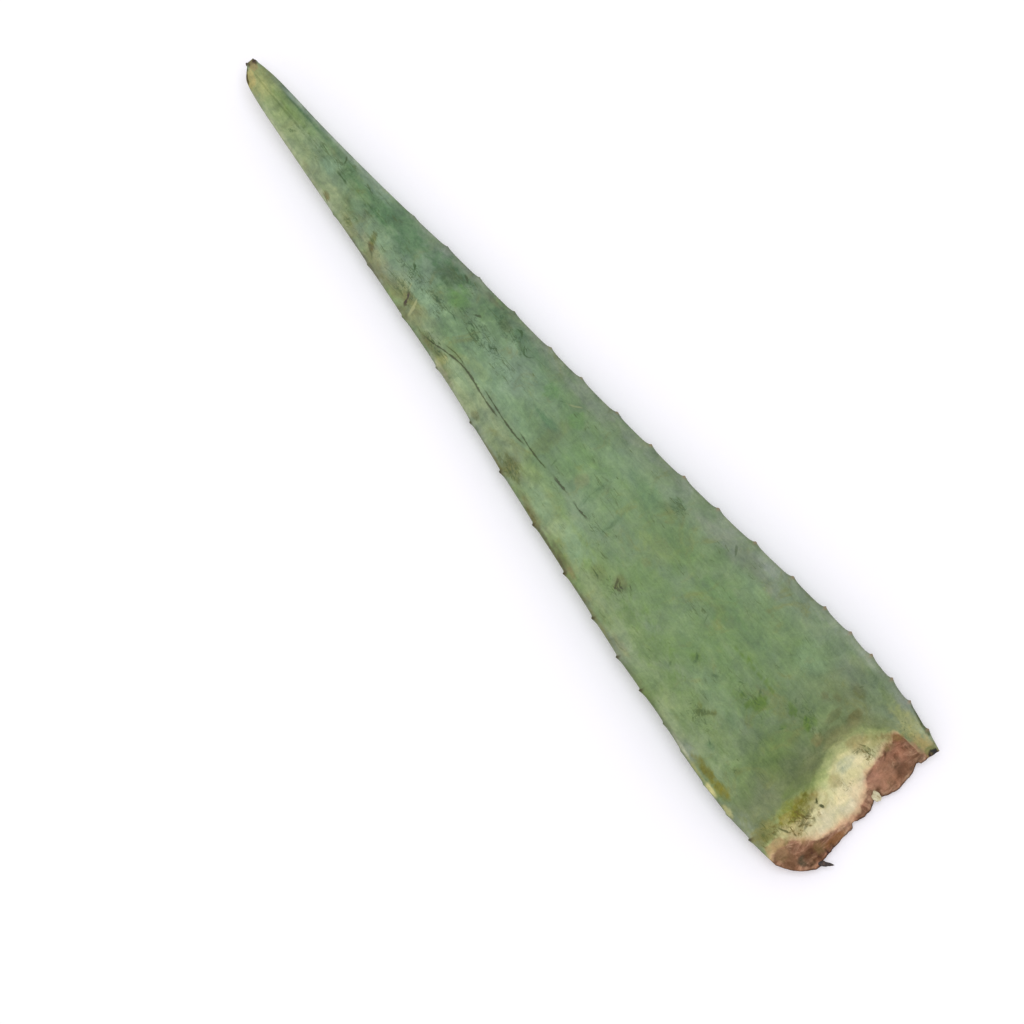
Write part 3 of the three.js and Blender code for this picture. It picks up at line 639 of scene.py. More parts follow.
# Scratches, nicks and thin lines: half width, tone (0 brown, 0.5 moss green, 1 straw), strength and points
strokes = [
    (0.4, 0.35, 1.0, [(324.6, -9), (326.5, -8), (328.8, -6.4)]),
    (0.35, 0.35, 0.9, [(342.5, -14.6), (347.2, -16.3)]),
    (0.35, 0.45, 0.8, [(316.5, -0.3), (319, -1), (321, -1)]),
    (0.55, 0.4, 1.0, [(429.3, -3.6), (430.4, -6), (431.8, -7.6)]),
    (0.75, 0.0, 1.0, [(353.6, 18.4), (355.6, 16.2), (356.6, 13.6), (358.6, 11.2)]),
    (0.4, 0.12, 0.9, [(170.5, 26.5), (173, 24.6), (175, 26), (177.5, 22), (179, 20.4)]),
    (0.4, 0.12, 0.8, [(171, 22.5), (174, 23.5), (176.5, 21)]),
    (0.35, 0.3, 0.8, [(168.5, 20), (171.5, 18.8)]),
    (0.35, 0.45, 0.8, [(183.5, 29), (187, 28.4), (191, 28)]),
    (0.5, 1.0, 0.7, [(348.8, 20.4), (350.6, 15), (353.5, 9.5)]),
    (0.3, 1.0, 0.6, [(359.2, 10.6), (361, 7.5)]),
    (0.3, 0.85, 0.6, [(256, -20), (259, -17.4), (262.5, -15)]),
    (0.3, 0.5, 0.7, [(262.4, -15.6), (267.5, -12.2)]),
    (0.25, 0.5, 0.7, [(457.6, 4.6), (460, 6), (462.2, 7.8)]),
    (0.25, 0.5, 0.6, [(457.8, 5.6), (459.2, 6.4), (460, 8)]),
    (0.4, 0.5, 0.26, [(440, 2.1), (463, 2.2), (480, 2.7), (496, 2.6)]),
    (0.55, 0.05, 1.0, [(490.6, 8.9), (495.2, 6.4), (499.2, 2.9)]),
    (0.7, 0.5, 0.7, [(420.5, 1.8), (424, 1.2), (430, 1.0)]),
    (0.6, 0.4, 0.5, [(92.6, 26.2), (95.5, 29), (97.6, 32.8), (99, 35.5)]),
    (0.5, 0.4, 0.5, [(96, 27.5), (98.4, 30.5), (100.6, 33), (101.6, 34.8)]),
    (0.5, 0.5, 0.6, [(62, 35.2), (63.6, 36.8)]),
    (0.5, 0.5, 0.6, [(65, 4), (66.6, 6.6)]),
    (0.45, 0.5, 0.7, [(105, 7.4), (107.4, 6.6)]),
    (0.4, 0.5, 0.6, [(86, 3.4), (88.5, 0.6)]),
    (0.4, 0.5, 0.5, [(132.5, 2), (134.6, -2.8)]),
    (0.5, 0.45, 0.8, [(60.4, -6.6), (62.6, -8.6)]),
    (0.5, 0.5, 0.5, [(71.6, -8.6), (73.8, -11)]),
    (0.45, 0.5, 0.5, [(106.6, 13), (110, 15.4)]),
    (0.5, 0.5, 0.5, [(90, 9.4), (94.6, 9)]),
    (0.45, 0.5, 0.5, [(95.4, 5), (99, 7.4)]),
    (0.45, 0.4, 0.5, [(55.6, -41.5), (57, -38.5)]),
    (0.5, 0.45, 0.6, [(97.6, 46.2), (98.6, 46)]),
    (0.5, 0.5, 0.5, [(82, 38.6), (85.4, 37)]),
    (0.45, 0.5, 0.4, [(126.5, 30), (128.6, 25.5)]),
    (0.4, 0.5, 0.5, [(65.5, 38), (62.4, 35)]),
    (0.4, 0.5, 0.6, [(138, 31.6), (142, 32.6)]),
    (0.6, 0.5, 0.3, [(201, 2), (200.6, 7), (201.4, 12)]),
    (0.6, 0.5, 0.35, [(218, 12), (219.6, 6), (219, -2)]),
    (0.5, 0.5, 0.45, [(243.6, 12), (244.4, 7)]),
    (0.4, 0.4, 0.6, [(148, -31.5), (151, -34.5), (153, -36.5)]),
    (0.4, 0.5, 0.5, [(153.6, -22), (156, -20.6)]),
    (0.35, 0.5, 0.7, [(119.8, 17.4), (121.4, 15.2), (123.4, 14)]),
    (0.42, 0.5, 1.0, [(344, 2.4), (345.6, 3.4), (347.4, 2.2), (349, 3)]),
    (0.42, 0.5, 1.0, [(305.5, -3.4), (307.6, -4.6), (310, -2.2), (312.6, -3.4)]),
    (0.42, 0.5, 1.0, [(291.5, -17), (294, -14.2), (296.5, -13.6), (299.5, -16.4)]),
    (0.42, 0.5, 1.0, [(322, -2.2), (325, -3), (327.6, -1)]),
    (0.42, 0.5, 1.0, [(331.5, 2.6), (335, 1.6), (338.4, 2.4)]),
    (0.42, 0.5, 1.0, [(303.5, -18), (306, -20), (309, -19)]),
    (0.42, 0.5, 1.0, [(364.5, 3.6), (366, 1.2), (368.6, 0.4)]),
    (0.42, 0.5, 1.0, [(409.5, -5.4), (412.4, -6), (415, -5)]),
    (0.3, 0.4, 0.6, [(382, 16.4), (386, 13.8), (388, 13.4)]),
    (0.3, 0.3, 0.9, [(32, -15.2), (31.6, -17.4)]),
    (0.3, 0.35, 0.7, [(23.5, -22.5), (27, -21.5), (29.6, -21.8)]),
    (0.3, 0.35, 0.7, [(26.5, -23.6), (30, -23), (34, -20.5)]),
    (0.5, 0.25, 1.0, [(18.6, 13.3), (22.0, 14.5)]),
    (0.5, 0.25, 1.0, [(22.4, 15.2), (25.8, 13.3)]),
    (0.45, 0.3, 0.8, [(20, 35), (23.5, 36.8), (27.5, 38.8)]),
    (0.35, 0.25, 0.8, [(24.4, -43.2), (26, -44)]),
    (0.6, 0.2, 0.6, [(16.4, 29), (18.4, 26), (17.8, 23)]),
    (0.55, 0.2, 0.6, [(18.9, 30), (20.7, 26), (23.5, 25)]),
    (0.5, 0.2, 0.6, [(19.7, 23.4), (22.7, 22.4)]),
    (0.5, 0.2, 0.5, [(16.2, 21.4), (19.7, 20)]),
    (0.5, 0.2, 0.5, [(20.7, 20.6), (23.2, 17.6)]),
    (0.5, 0.2, 0.5, [(22.7, 30.4), (24.7, 28.4)]),
    (0.45, 0.2, 0.5, [(16.7, 33.4), (19.2, 34.4)]),
    (0.5, 0.2, 0.5, [(24.4, 41.5), (27.6, 42.6)]),
    (0.45, 0.3, 0.6, [(29, -16.6), (32.4, -19.4)]),
]


def traceStrokes(mesh, along, side, onTop):
    # signed distance to the nearest stroke, its half width there, tone and strength, for the skin to draw
    nearest = np.full(len(along), farOff)
    values = np.zeros((len(along), 4))
    values[:, 0] = farOff
    for halfWidth, tone, strength, points in strokes:
        lengths = [math.dist(a, b) for a, b in zip(points, points[1:])]
        begun = 0
        for start, end, length in zip(points, points[1:], lengths):
            dx, dy = (end[0] - start[0]) / length, (end[1] - start[1]) / length
            u = (along - start[0]) * dx + (side - start[1]) * dy
            off = (side - start[1]) * dx - (along - start[0]) * dy
            away = np.hypot(off, np.maximum(0, np.maximum(-u, u - length)))
            t = (begun + u) / sum(lengths)
            taper = (1 - np.abs(2 * t - 1) ** 4).clip(0, 1) * (1 - smoothstep(1.6, 3.2, np.abs(off)))
            closer = away < np.minimum(nearest, 4)
            nearest = np.where(closer, away, nearest)
            here = np.stack([off, halfWidth * (0.4 + 0.6 * taper), 0 * off + tone, strength * taper], 1)
            values = np.where(closer[:, None], here, values)
            begun += length
    values[:, 3] *= onTop
    setAttribute(mesh, "strokes", values, "FLOAT_COLOR")


def addNode(tree, kind, inputs=None, out=0, stops=(), **settings):
    # adds a node, sets it up, links or fills its inputs, and hands back one of its outputs, or itself for
    # None; stops are places and hex colours, the two ends first
    node = tree.nodes.new("ShaderNode" + kind)
    for name, value in settings.items():
        setattr(node, name, value)
    for i, (position, code) in enumerate(stops):
        ramp = node.color_ramp.elements
        element = ramp[i] if i < 2 else ramp.new(position)
        element.position = position
        element.color = linear(code)
    for socket, value in (inputs or {}).items():
        if isinstance(value, bpy.types.NodeSocket):
            tree.links.new(value, node.inputs[socket])
        else:
            node.inputs[socket].default_value = value
    return node if out is None else node.outputs[out]


tinted = {"out": 2, "data_type": "RGBA"}  # for a Mix of two colours, whose result is output 2


def newMaterial(name):
    material = bpy.data.materials.new(name)
    material.use_nodes = True
    material.node_tree.nodes.clear()
    return material, material.node_tree


skinLooks = {
    # greens of the bare skin from the base to the tip, each with its place along the leaf in mm
    "greens": [(44, "#6a7454"), (60, "#6f8059"), (85, "#748a60"), (170, "#738a61"), (240, "#768d6a"),
               (300, "#789171"), (360, "#768f6f"), (410, "#7a9270"), (455, "#83976f"), (500, "#949f6c")],
    "bloomShift": (0.75, 0.35, 1.5),  # how a whole bloom turns the green towards grey, and a lost one away
    "rubbed": "#7b7f4c",
    # painted light and shade: the left strip is paler and the right greyer, partly their own colour
    "leftStripPaleAndLit": "#8a9b74",
    "rightStripGreyAndShaded": "#77876d",
    # partly painted sheen: a lighter grey next to both margins
    "margin": "#87937d",
    "rim": "#676c52",
    # painted shade for the trough just behind the fold
    "troughShade": "#6c7654",
    "back": "#7f9468",
    "speck": "#4f6036",
    "scar": "#74663a",
    "bladeScar": "#42593b",
    "toothTip": "#4f4736",
    "rightTip": "#a3836a",
    "crack": "#3f402d",
    "cloudSize": 26,
    "shadeSize": 40,
    "rubbedSize": 17,
    "mottleSize": 9,
    "streakWidth": 1.6,
    "speckSize": 2.1,
    "scarSize": 5.2,
    # a soft light falls on the leaf this strongly, and its wax mirrors this much of it: the tints above and
    # in the marks are as the leaf looks in that light
    "light": 1.12,
    "sheen": 0.031,
}


def waxySkin(tree, here, across, pastFold):
    # Living leaf skin, a waxy cuticle over green flesh: grey where the bloom is whole, fresh green where it
    # is gone, olive where it is rubbed and bruised; paler along the left margin and greyer along the right,
    # partly their own colour and partly painted light, painted shade and painted sheen; painted shade in the
    # trough behind the fold and painted light on the slope there
    looks = skinLooks
    along = addNode(tree, "SeparateXYZ", {0: here})
    t = addNode(tree, "Math", {0: along, 1: 1 / leafShape["length"]}, operation="MULTIPLY")
    stops = [(place / leafShape["length"], code) for place, code in looks["greens"]]
    colour = addNode(tree, "ValToRGB", {0: t}, stops=stops[:1] + stops[-1:] + stops[1:-1])
    lengthwise = addNode(tree, "Mapping", {"Vector": here, "Scale": (0.6, 1, 1)})
    bloom = addNode(tree, "TexNoise", {"Vector": lengthwise, "Scale": 1 / looks["cloudSize"], "Detail": 5,
                                       "Roughness": 0.62, "Distortion": 0.5})
    offMiddle = addNode(tree, "Math", {0: across}, operation="ABSOLUTE")
    wandering = addNode(tree, "Math", {0: bloom, 1: 0.5, 2: offMiddle}, operation="MULTIPLY_ADD")
    # painted light and shade: the left margin strip is made paler, partly its own colour and partly light as
    # if that side leant towards the lamp, and the right strip greyer, partly painted shade
    leftward = addNode(tree, "MapRange", {"Value": across, "From Min": 0.3, "From Max": 0.76, "To Max": 0.9},
                       interpolation_type="SMOOTHSTEP")
    clearOfFold = addNode(tree, "MapRange", {"Value": pastFold, "From Min": 12, "From Max": 40})
    leftward = addNode(tree, "Math", {0: leftward, 1: clearOfFold}, operation="MULTIPLY")
    colour = addNode(tree, "Mix", {0: leftward, 6: colour, 7: linear(looks["leftStripPaleAndLit"])}, **tinted)
    rightward = addNode(tree, "MapRange", {"Value": across, "From Min": -0.5, "From Max": -0.85,
                                           "To Max": 0.7},
                        interpolation_type="SMOOTHSTEP")
    colour = addNode(tree, "Mix", {0: rightward, 6: colour, 7: linear(looks["rightStripGreyAndShaded"])}, **tinted)
    # partly painted sheen: the skin next to both margins is made a lighter grey, as if their rounded edges
    # caught the sheen
    marginMask = addNode(tree, "MapRange", {"Value": wandering, "From Min": 1.1, "From Max": 1.26,
                                            "To Max": 0.7},
                         interpolation_type="SMOOTHSTEP")
    colour = addNode(tree, "Mix", {0: marginMask, 6: colour, 7: linear(looks["margin"])}, **tinted)
    rimMask = addNode(tree, "MapRange", {"Value": offMiddle, "From Min": 0.96, "From Max": 1, "To Max": 0.3})
    colour = addNode(tree, "Mix", {0: rimMask, 6: colour, 7: linear(looks["rim"])}, **tinted)
    shift = addNode(tree, "Math", {0: bloom, 1: 0.5}, operation="SUBTRACT")
    shift = addNode(tree, "VectorMath", {0: shift, 1: looks["bloomShift"], 2: (1, 1, 1)},
                    operation="MULTIPLY_ADD")
    colour = addNode(tree, "VectorMath", {0: colour, 1: shift}, operation="MULTIPLY")
    rubbed = addNode(tree, "TexNoise", {"Vector": here, "Scale": 1 / looks["rubbedSize"], "Detail": 5,
                                        "Roughness": 0.66, "Distortion": 1.0})
    rubbedMask = addNode(tree, "MapRange", {"Value": rubbed, "From Min": 0.52, "From Max": 0.7,
                                            "To Max": 0.5},
                         interpolation_type="SMOOTHSTEP")
    colour = addNode(tree, "Mix", {0: rubbedMask, 6: colour, 7: linear(looks["rubbed"])}, **tinted)
    shade = addNode(tree, "TexNoise", {"Vector": lengthwise, "Scale": 1 / looks["shadeSize"], "Detail": 2})
    shade = addNode(tree, "MapRange", {"Value": shade, "From Min": 0.3, "From Max": 0.7, "To Min": 0.88,
                                       "To Max": 1.12})
    colour = addNode(tree, "VectorMath", {0: colour, "Scale": shade}, operation="SCALE")
    # painted shade: the skin darkens towards the fold, in the trough behind it where shade falls
    troughShade = addNode(tree, "MapRange", {"Value": pastFold, "From Min": 14, "From Max": 5, "To Max": 0.5},
                    interpolation_type="SMOOTHSTEP")
    colour = addNode(tree, "Mix", {0: troughShade, 6: colour, 7: linear(looks["troughShade"])}, **tinted)
    # painted light: the slope behind the fold is made paler, against the shade it gets from facing away
    # from the lamp
    slopeLight = addNode(tree, "MapRange", {"Value": pastFold, "From Min": 22, "From Max": 8, "To Min": 1,
                                       "To Max": 1.3}, interpolation_type="SMOOTHSTEP")
    return addNode(tree, "VectorMath", {0: colour, "Scale": slopeLight}, operation="SCALE")


def paleSheath(tree, here, pastFold, driedEdge):
    # The pale wall that clasped the stem: watery tissue with little green in it, cream, greener at the fold
    # and flushed where it dries
    stain = addNode(tree, "TexNoise", {"Vector": here, "Scale": 1 / 6, "Detail": 4, "Roughness": 0.6})
    stain = addNode(tree, "Math", {0: stain, 1: 0.5}, operation="SUBTRACT")
    shift = addNode(tree, "Math", {0: stain, 1: 14.0, 2: pastFold}, operation="MULTIPLY_ADD")
    t = addNode(tree, "MapRange", {"Value": shift, "From Min": -30, "From Max": 6})
    colour = addNode(tree, "ValToRGB", {0: t}, stops=[
        (0.0, "#dfcba5"), (1.0, "#747f55"), (0.2, "#e0d5ac"), (0.4, "#ddd6aa"),
        (0.56, "#d3cf9a"), (0.67, "#bfc58d"), (0.76, "#abb67c"), (0.85, "#909e66"),
    ])
    flush = addNode(tree, "MapRange", {"Value": driedEdge, "From Min": 4.5, "From Max": 0, "To Max": 0.8},
                    interpolation_type="SMOOTHSTEP")
    return addNode(tree, "Mix", {0: flush, 6: colour, 7: linear("#d2ab88")}, **tinted)


def driedSkin(tree, here, fromTear):
    # Skin that has dried to brown paper, reddish where it is thin, with a dark curled edge
    fibrous = addNode(tree, "Mapping", {"Vector": here, "Scale": (1, 0.6, 1)})
    blotch = addNode(tree, "TexNoise", {"Vector": fibrous, "Scale": 1 / 7, "Detail": 7, "Roughness": 0.72,
                                        "Distortion": 1.2})
    colour = addNode(tree, "ValToRGB", {0: blotch}, stops=[
        (0.32, "#5d483c"), (0.68, "#cda688"), (0.44, "#866450"), (0.55, "#a67e67"),
    ])
    flush = addNode(tree, "TexNoise", {"Vector": here, "Scale": 1 / 11, "Detail": 3, "Roughness": 0.6})
    flush = addNode(tree, "Math", {0: flush, 1: 0.5}, operation="SUBTRACT")
    flush = addNode(tree, "VectorMath", {0: flush, 1: (-0.1, 0.6, 0.7), 2: (1, 1, 1)},
                    operation="MULTIPLY_ADD")
    colour = addNode(tree, "VectorMath", {0: colour, 1: flush}, operation="MULTIPLY")
    edge = addNode(tree, "MapRange", {"Value": fromTear, "From Min": 0.1, "From Max": 1.4, "To Min": 0.8,
                                      "To Max": 0}, interpolation_type="SMOOTHSTEP")
    return addNode(tree, "Mix", {0: edge, 6: colour, 7: linear("#3a2e27")}, **tinted)


def lineDepth(tree, here, name, wobbleSize, wobble):
    # the line's strength in its middle, 0 beside it, and its tone
    line = addNode(tree, "Attribute", attribute_name=name, out=None)
    parts = addNode(tree, "SeparateXYZ", {0: line.outputs["Vector"]}, out=None)
    waver = addNode(tree, "TexNoise", {"Vector": here, "Scale": 1 / wobbleSize, "Detail": 3,
                                       "Roughness": 0.6})
    waver = addNode(tree, "Math", {0: waver, 1: 0.5}, operation="SUBTRACT")
    distance = addNode(tree, "Math", {0: waver, 1: wobble, 2: parts.outputs[0]}, operation="MULTIPLY_ADD")
    distance = addNode(tree, "Math", {0: distance}, operation="ABSOLUTE")
    breaks = addNode(tree, "TexNoise", {"Vector": here, "Scale": 1 / (4 * wobbleSize), "Detail": 3})
    breaks = addNode(tree, "MapRange", {"Value": breaks, "From Min": 0.35, "From Max": 0.65, "To Min": 0.2,
                                        "To Max": 1.8})
    width = addNode(tree, "Math", {0: parts.outputs[1], 1: breaks}, operation="MULTIPLY")
    inside = addNode(tree, "Math", {0: width, 1: distance}, operation="SUBTRACT")
    depth = addNode(tree, "MapRange", {"Value": inside, "From Min": -0.35, "From Max": 0.3},
                    interpolation_type="SMOOTHSTEP")
    depth = addNode(tree, "Math", {0: depth, 1: line.outputs["Alpha"]}, operation="MULTIPLY")
    return depth, parts.outputs[2]


def leafSkin():
    looks = skinLooks
    material, tree = newMaterial("aloeSkin")
    place = addNode(tree, "TexCoord", out="Object")
    here = addNode(tree, "Mapping", {"Vector": place, "Scale": (1 / mm,) * 3,
                                     "Location": (origin["along"], origin["side"], 0)})
    fields = ("pastFold", "pastDried", "fromTear", "toothward", "across", "topside", "speckled")
    pastFold, pastDried, fromTear, toothward, across, topside, speckled = (
        addNode(tree, "Attribute", attribute_name=name, out="Fac") for name in fields
    )

    skin = waxySkin(tree, here, across, pastFold)
    underneath = addNode(tree, "MapRange", {"Value": topside, "From Min": 0.5, "From Max": 0, "To Max": 0.55})
    skin = addNode(tree, "Mix", {0: underneath, 6: skin, 7: linear(looks["back"])}, **tinted)

    # the fold and the inner edge of the dried skin are ragged
    frayed = addNode(tree, "TexNoise", {"Vector": here, "Scale": 1 / 3.5, "Detail": 6, "Roughness": 0.72})
    frayed = addNode(tree, "Math", {0: frayed, 1: 0.5}, operation="SUBTRACT")
    foldEdge = addNode(tree, "Math", {0: frayed, 1: 7.0, 2: pastFold}, operation="MULTIPLY_ADD")
    sheathMask = addNode(tree, "MapRange", {"Value": foldEdge, "From Min": 4, "From Max": -5},
                         interpolation_type="SMOOTHSTEP")
    waved = addNode(tree, "TexNoise", {"Vector": here, "Scale": 1 / 5, "Detail": 3, "Roughness": 0.5})
    waved = addNode(tree, "Math", {0: waved, 1: 0.5}, operation="SUBTRACT")
    driedEdge = addNode(tree, "Math", {0: waved, 1: 6.0, 2: pastDried}, operation="MULTIPLY_ADD")
    colour = addNode(tree, "Mix", {0: sheathMask, 6: skin, 7: paleSheath(tree, here, pastFold, driedEdge)},
                     **tinted)
    driedMask = addNode(tree, "MapRange", {"Value": driedEdge, "From Min": 1.2, "From Max": -1.0},
                        interpolation_type="SMOOTHSTEP")
    colour = addNode(tree, "Mix", {0: driedMask, 6: colour, 7: driedSkin(tree, here, fromTear)}, **tinted)

    # the painted marks, already multiplied by their cover, thinned unevenly
    painted = addNode(tree, "Attribute", attribute_name="marks", out=None)
    thinned = addNode(tree, "MapRange", {"Value": frayed, "From Min": -0.18, "From Max": 0.16, "To Min": 0.6,
                                         "To Max": 1.08})
    cover = addNode(tree, "Math", {0: painted.outputs["Alpha"], 1: thinned}, operation="MULTIPLY")
    uncovered = addNode(tree, "Math", {0: 1.0, 1: cover}, operation="SUBTRACT", use_clamp=True)
    colour = addNode(tree, "VectorMath", {0: colour, "Scale": uncovered}, operation="SCALE")
    tint = addNode(tree, "VectorMath", {0: painted.outputs["Color"], "Scale": thinned}, operation="SCALE")
    colour = addNode(tree, "VectorMath", {0: colour, 1: tint}, operation="ADD")

    # mottling in light and in hue, faint streaks and stipple
    mottle = addNode(tree, "TexNoise", {"Vector": here, "Scale": 1 / looks["mottleSize"], "Detail": 7,
                                        "Roughness": 0.7, "Distortion": 0.4}, out=None)
    uneven = addNode(tree, "Math", {0: mottle.outputs[0], 1: 0.5}, operation="SUBTRACT")
    upLeaf = addNode(tree, "SeparateXYZ", {0: here})
    gain = addNode(tree, "MapRange", {"Value": upLeaf, "From Min": 200, "From Max": 320, "To Min": 1.2,
                                      "To Max": 1.85})
    light = addNode(tree, "Math", {0: uneven, 1: gain, 2: 1.0}, operation="MULTIPLY_ADD")
    colour = addNode(tree, "VectorMath", {0: colour, "Scale": light}, operation="SCALE")
    hue = addNode(tree, "VectorMath", {0: mottle.outputs[1], 1: (0.24, 0.12, 0.24), 2: (0.88, 0.94, 0.88)},
                  operation="MULTIPLY_ADD")
    colour = addNode(tree, "VectorMath", {0: colour, 1: hue}, operation="MULTIPLY")
    streakPlace = addNode(tree, "Mapping", {"Vector": here, "Scale": (0.2, 1, 1), "Rotation": (0, 0, 0.12)})
    streaks = addNode(tree, "TexNoise", {"Vector": streakPlace, "Scale": 1 / looks["streakWidth"],
                                         "Detail": 3, "Roughness": 0.6, "Distortion": 0.6})
    streakLight = addNode(tree, "MapRange", {"Value": streaks, "From Min": 0.25, "From Max": 0.75,
                                             "To Min": 0.9, "To Max": 1.1})
    stipple = addNode(tree, "TexNoise", {"Vector": here, "Scale": 1.0, "Detail": 2, "Roughness": 0.6})
    stippleLight = addNode(tree, "MapRange", {"Value": stipple, "From Min": 0.25, "From Max": 0.75,
                                              "To Min": 0.93, "To Max": 1.07})
    light = addNode(tree, "Math", {0: streakLight, 1: stippleLight}, operation="MULTIPLY")
    colour = addNode(tree, "VectorMath", {0: colour, "Scale": light}, operation="SCALE")

    # small dark green specks in drifts, thick where the skin was bruised
    specks = addNode(tree, "TexNoise", {"Vector": streakPlace, "Scale": 1 / looks["speckSize"], "Detail": 3,
                                        "Roughness": 0.65, "Distortion": 1.5})
    drift = addNode(tree, "TexNoise", {"Vector": here, "Scale": 1 / 10, "Detail": 3})
    speckCut = addNode(tree, "Math", {0: speckled, 1: -0.14, 2: 0.78}, operation="MULTIPLY_ADD")
    speckCut = addNode(tree, "Math", {0: drift, 1: -0.3, 2: speckCut}, operation="MULTIPLY_ADD")
    over = addNode(tree, "Math", {0: specks, 1: speckCut}, operation="SUBTRACT")
    speckMost = addNode(tree, "MapRange", {"Value": foldEdge, "From Min": 2, "From Max": -3, "To Min": 0.65,
                                           "To Max": 0.3})
    speckMask = addNode(tree, "MapRange", {"Value": over, "From Min": 0, "From Max": 0.14,
                                           "To Max": speckMost})
    colour = addNode(tree, "Mix", {0: speckMask, 6: colour, 7: linear(looks["speck"])}, **tinted)

    # fine wriggling scars among them, most of all on the sheath
    slanted = addNode(tree, "Mapping", {"Vector": here, "Scale": (0.65, 1, 1), "Rotation": (0, 0, -0.6)})
    scars = addNode(tree, "TexNoise", {"Vector": slanted, "Scale": 1 / looks["scarSize"], "Detail": 2,
                                       "Roughness": 0.6, "Distortion": 1.6})
    scars = addNode(tree, "Math", {0: scars, 1: 0.5}, operation="SUBTRACT")
    scars = addNode(tree, "Math", {0: scars}, operation="ABSOLUTE")
    scarWidth = addNode(tree, "Math", {0: speckled, 1: drift}, operation="MULTIPLY")
    scarWidth = addNode(tree, "Math", {0: scarWidth, 1: 0.11, 2: -0.008}, operation="MULTIPLY_ADD")
    within = addNode(tree, "Math", {0: scarWidth, 1: scars}, operation="SUBTRACT")
    scarMost = addNode(tree, "MapRange", {"Value": foldEdge, "From Min": 2, "From Max": -3, "To Min": 0.6,
                                          "To Max": 0.8})
    scarMask = addNode(tree, "MapRange", {"Value": within, "From Min": 0, "From Max": 0.035,
                                          "To Max": scarMost})
    scarTint = addNode(tree, "Mix", {0: sheathMask, 6: linear(looks["bladeScar"]), 7: linear(looks["scar"])},
                       **tinted)
    colour = addNode(tree, "Mix", {0: scarMask, 6: colour, 7: scarTint}, **tinted)

    # scratches and thin lines
    stroke, tone = lineDepth(tree, here, "strokes", 1.6, 0.8)
    ink = addNode(tree, "ValToRGB", {0: tone}, stops=[
        (0, "#43341f"), (1, "#b0b382"), (0.5, "#3f5833"),
    ])
    strokeMask = addNode(tree, "Math", {0: stroke, 1: 0.9}, operation="MULTIPLY")
    colour = addNode(tree, "Mix", {0: strokeMask, 6: colour, 7: ink}, **tinted)

    # teeth dry to brown at their points
    toothMask = addNode(tree, "MapRange", {"Value": toothward, "From Min": 0.1, "From Max": 0.7,
                                           "To Max": 0.8})
    tipTint = addNode(tree, "Mix", {0: across, 6: linear(looks["rightTip"]), 7: linear(looks["toothTip"])},
                      **tinted)
    colour = addNode(tree, "Mix", {0: toothMask, 6: colour, 7: tipTint}, **tinted)

    upper = lineDepth(tree, here, "upperCrack", 1.2, 0.8)[0]
    lower = lineDepth(tree, here, "lowerCrack", 1.2, 0.8)[0]
    crack = addNode(tree, "Math", {0: upper, 1: lower}, operation="MAXIMUM")
    crackMask = addNode(tree, "Math", {0: crack, 1: 0.8}, operation="MULTIPLY")
    colour = addNode(tree, "Mix", {0: crackMask, 6: colour, 7: linear(looks["crack"])}, **tinted)

    # relief: fine grain on the living skin, creases on the dried one, and the cracks sunk in
    height = addNode(tree, "Math", {0: mottle.outputs[0], 1: 1.0, 2: streaks}, operation="MULTIPLY_ADD")
    creases = addNode(tree, "Math", {0: frayed, 1: driedMask}, operation="MULTIPLY")
    height = addNode(tree, "Math", {0: creases, 1: 8.0, 2: height}, operation="MULTIPLY_ADD")
    height = addNode(tree, "Math", {0: crack, 1: -3.0, 2: height}, operation="MULTIPLY_ADD")
    normal = addNode(tree, "Bump", {"Strength": 0.6, "Distance": 0.12 * mm, "Height": height})

    # the tints as seen, less the sheen that the wax adds to them
    seen = (1 / looks["light"],) * 3
    colour = addNode(tree, "VectorMath", {0: colour, 1: seen, 2: (-looks["sheen"],) * 3},
                     operation="MULTIPLY_ADD")
    colour = addNode(tree, "VectorMath", {0: colour, 1: (0.008,) * 3}, operation="MAXIMUM")
    rough = addNode(tree, "MapRange", {"Value": mottle.outputs[0], "From Min": 0.3, "From Max": 0.7,
                                       "To Min": 0.48, "To Max": 0.62})
    rough = addNode(tree, "Mix", {0: driedMask, 2: rough, 3: 0.8})
    shader = addNode(tree, "BsdfPrincipled", {"Base Color": colour, "Roughness": rough, "Normal": normal,
                                              "IOR": 1.45})
    addNode(tree, "OutputMaterial", {"Surface": shader}, out=None)
    return material


# Horn-hard ends, each wrapped round a curve through three points: along, side and height above the resting
# surface, then the widths of the horn along it
driedEnds = {
    "hook": {"path": [(0.2, 35.4, 6.7), (-3.0, 32.4, 7.0), (-7.4, 27.9, 9.2)], "flat": 0.7,
             "widths": [(0, 1.0), (0.3, 1.7), (0.6, 1.3), (0.85, 0.7), (1, 0.15)]},
    "tipStubLeft": {"path": [(494.5, 1.6, 20.2), (498.5, 2.1, 20.8), (501.2, 2.4, 21)], "flat": 0.8,
                    "widths": [(0, 0.9), (0.5, 1.1), (0.8, 0.8), (1, 0.25)]},
    "tipStubRight": {"path": [(494.5, -1.0, 20.0), (498, -1.5, 20.4), (499.8, -2.2, 20.6)], "flat": 0.8,
                     "widths": [(0, 0.9), (0.5, 1.1), (0.8, 0.8), (1, 0.25)]},
}


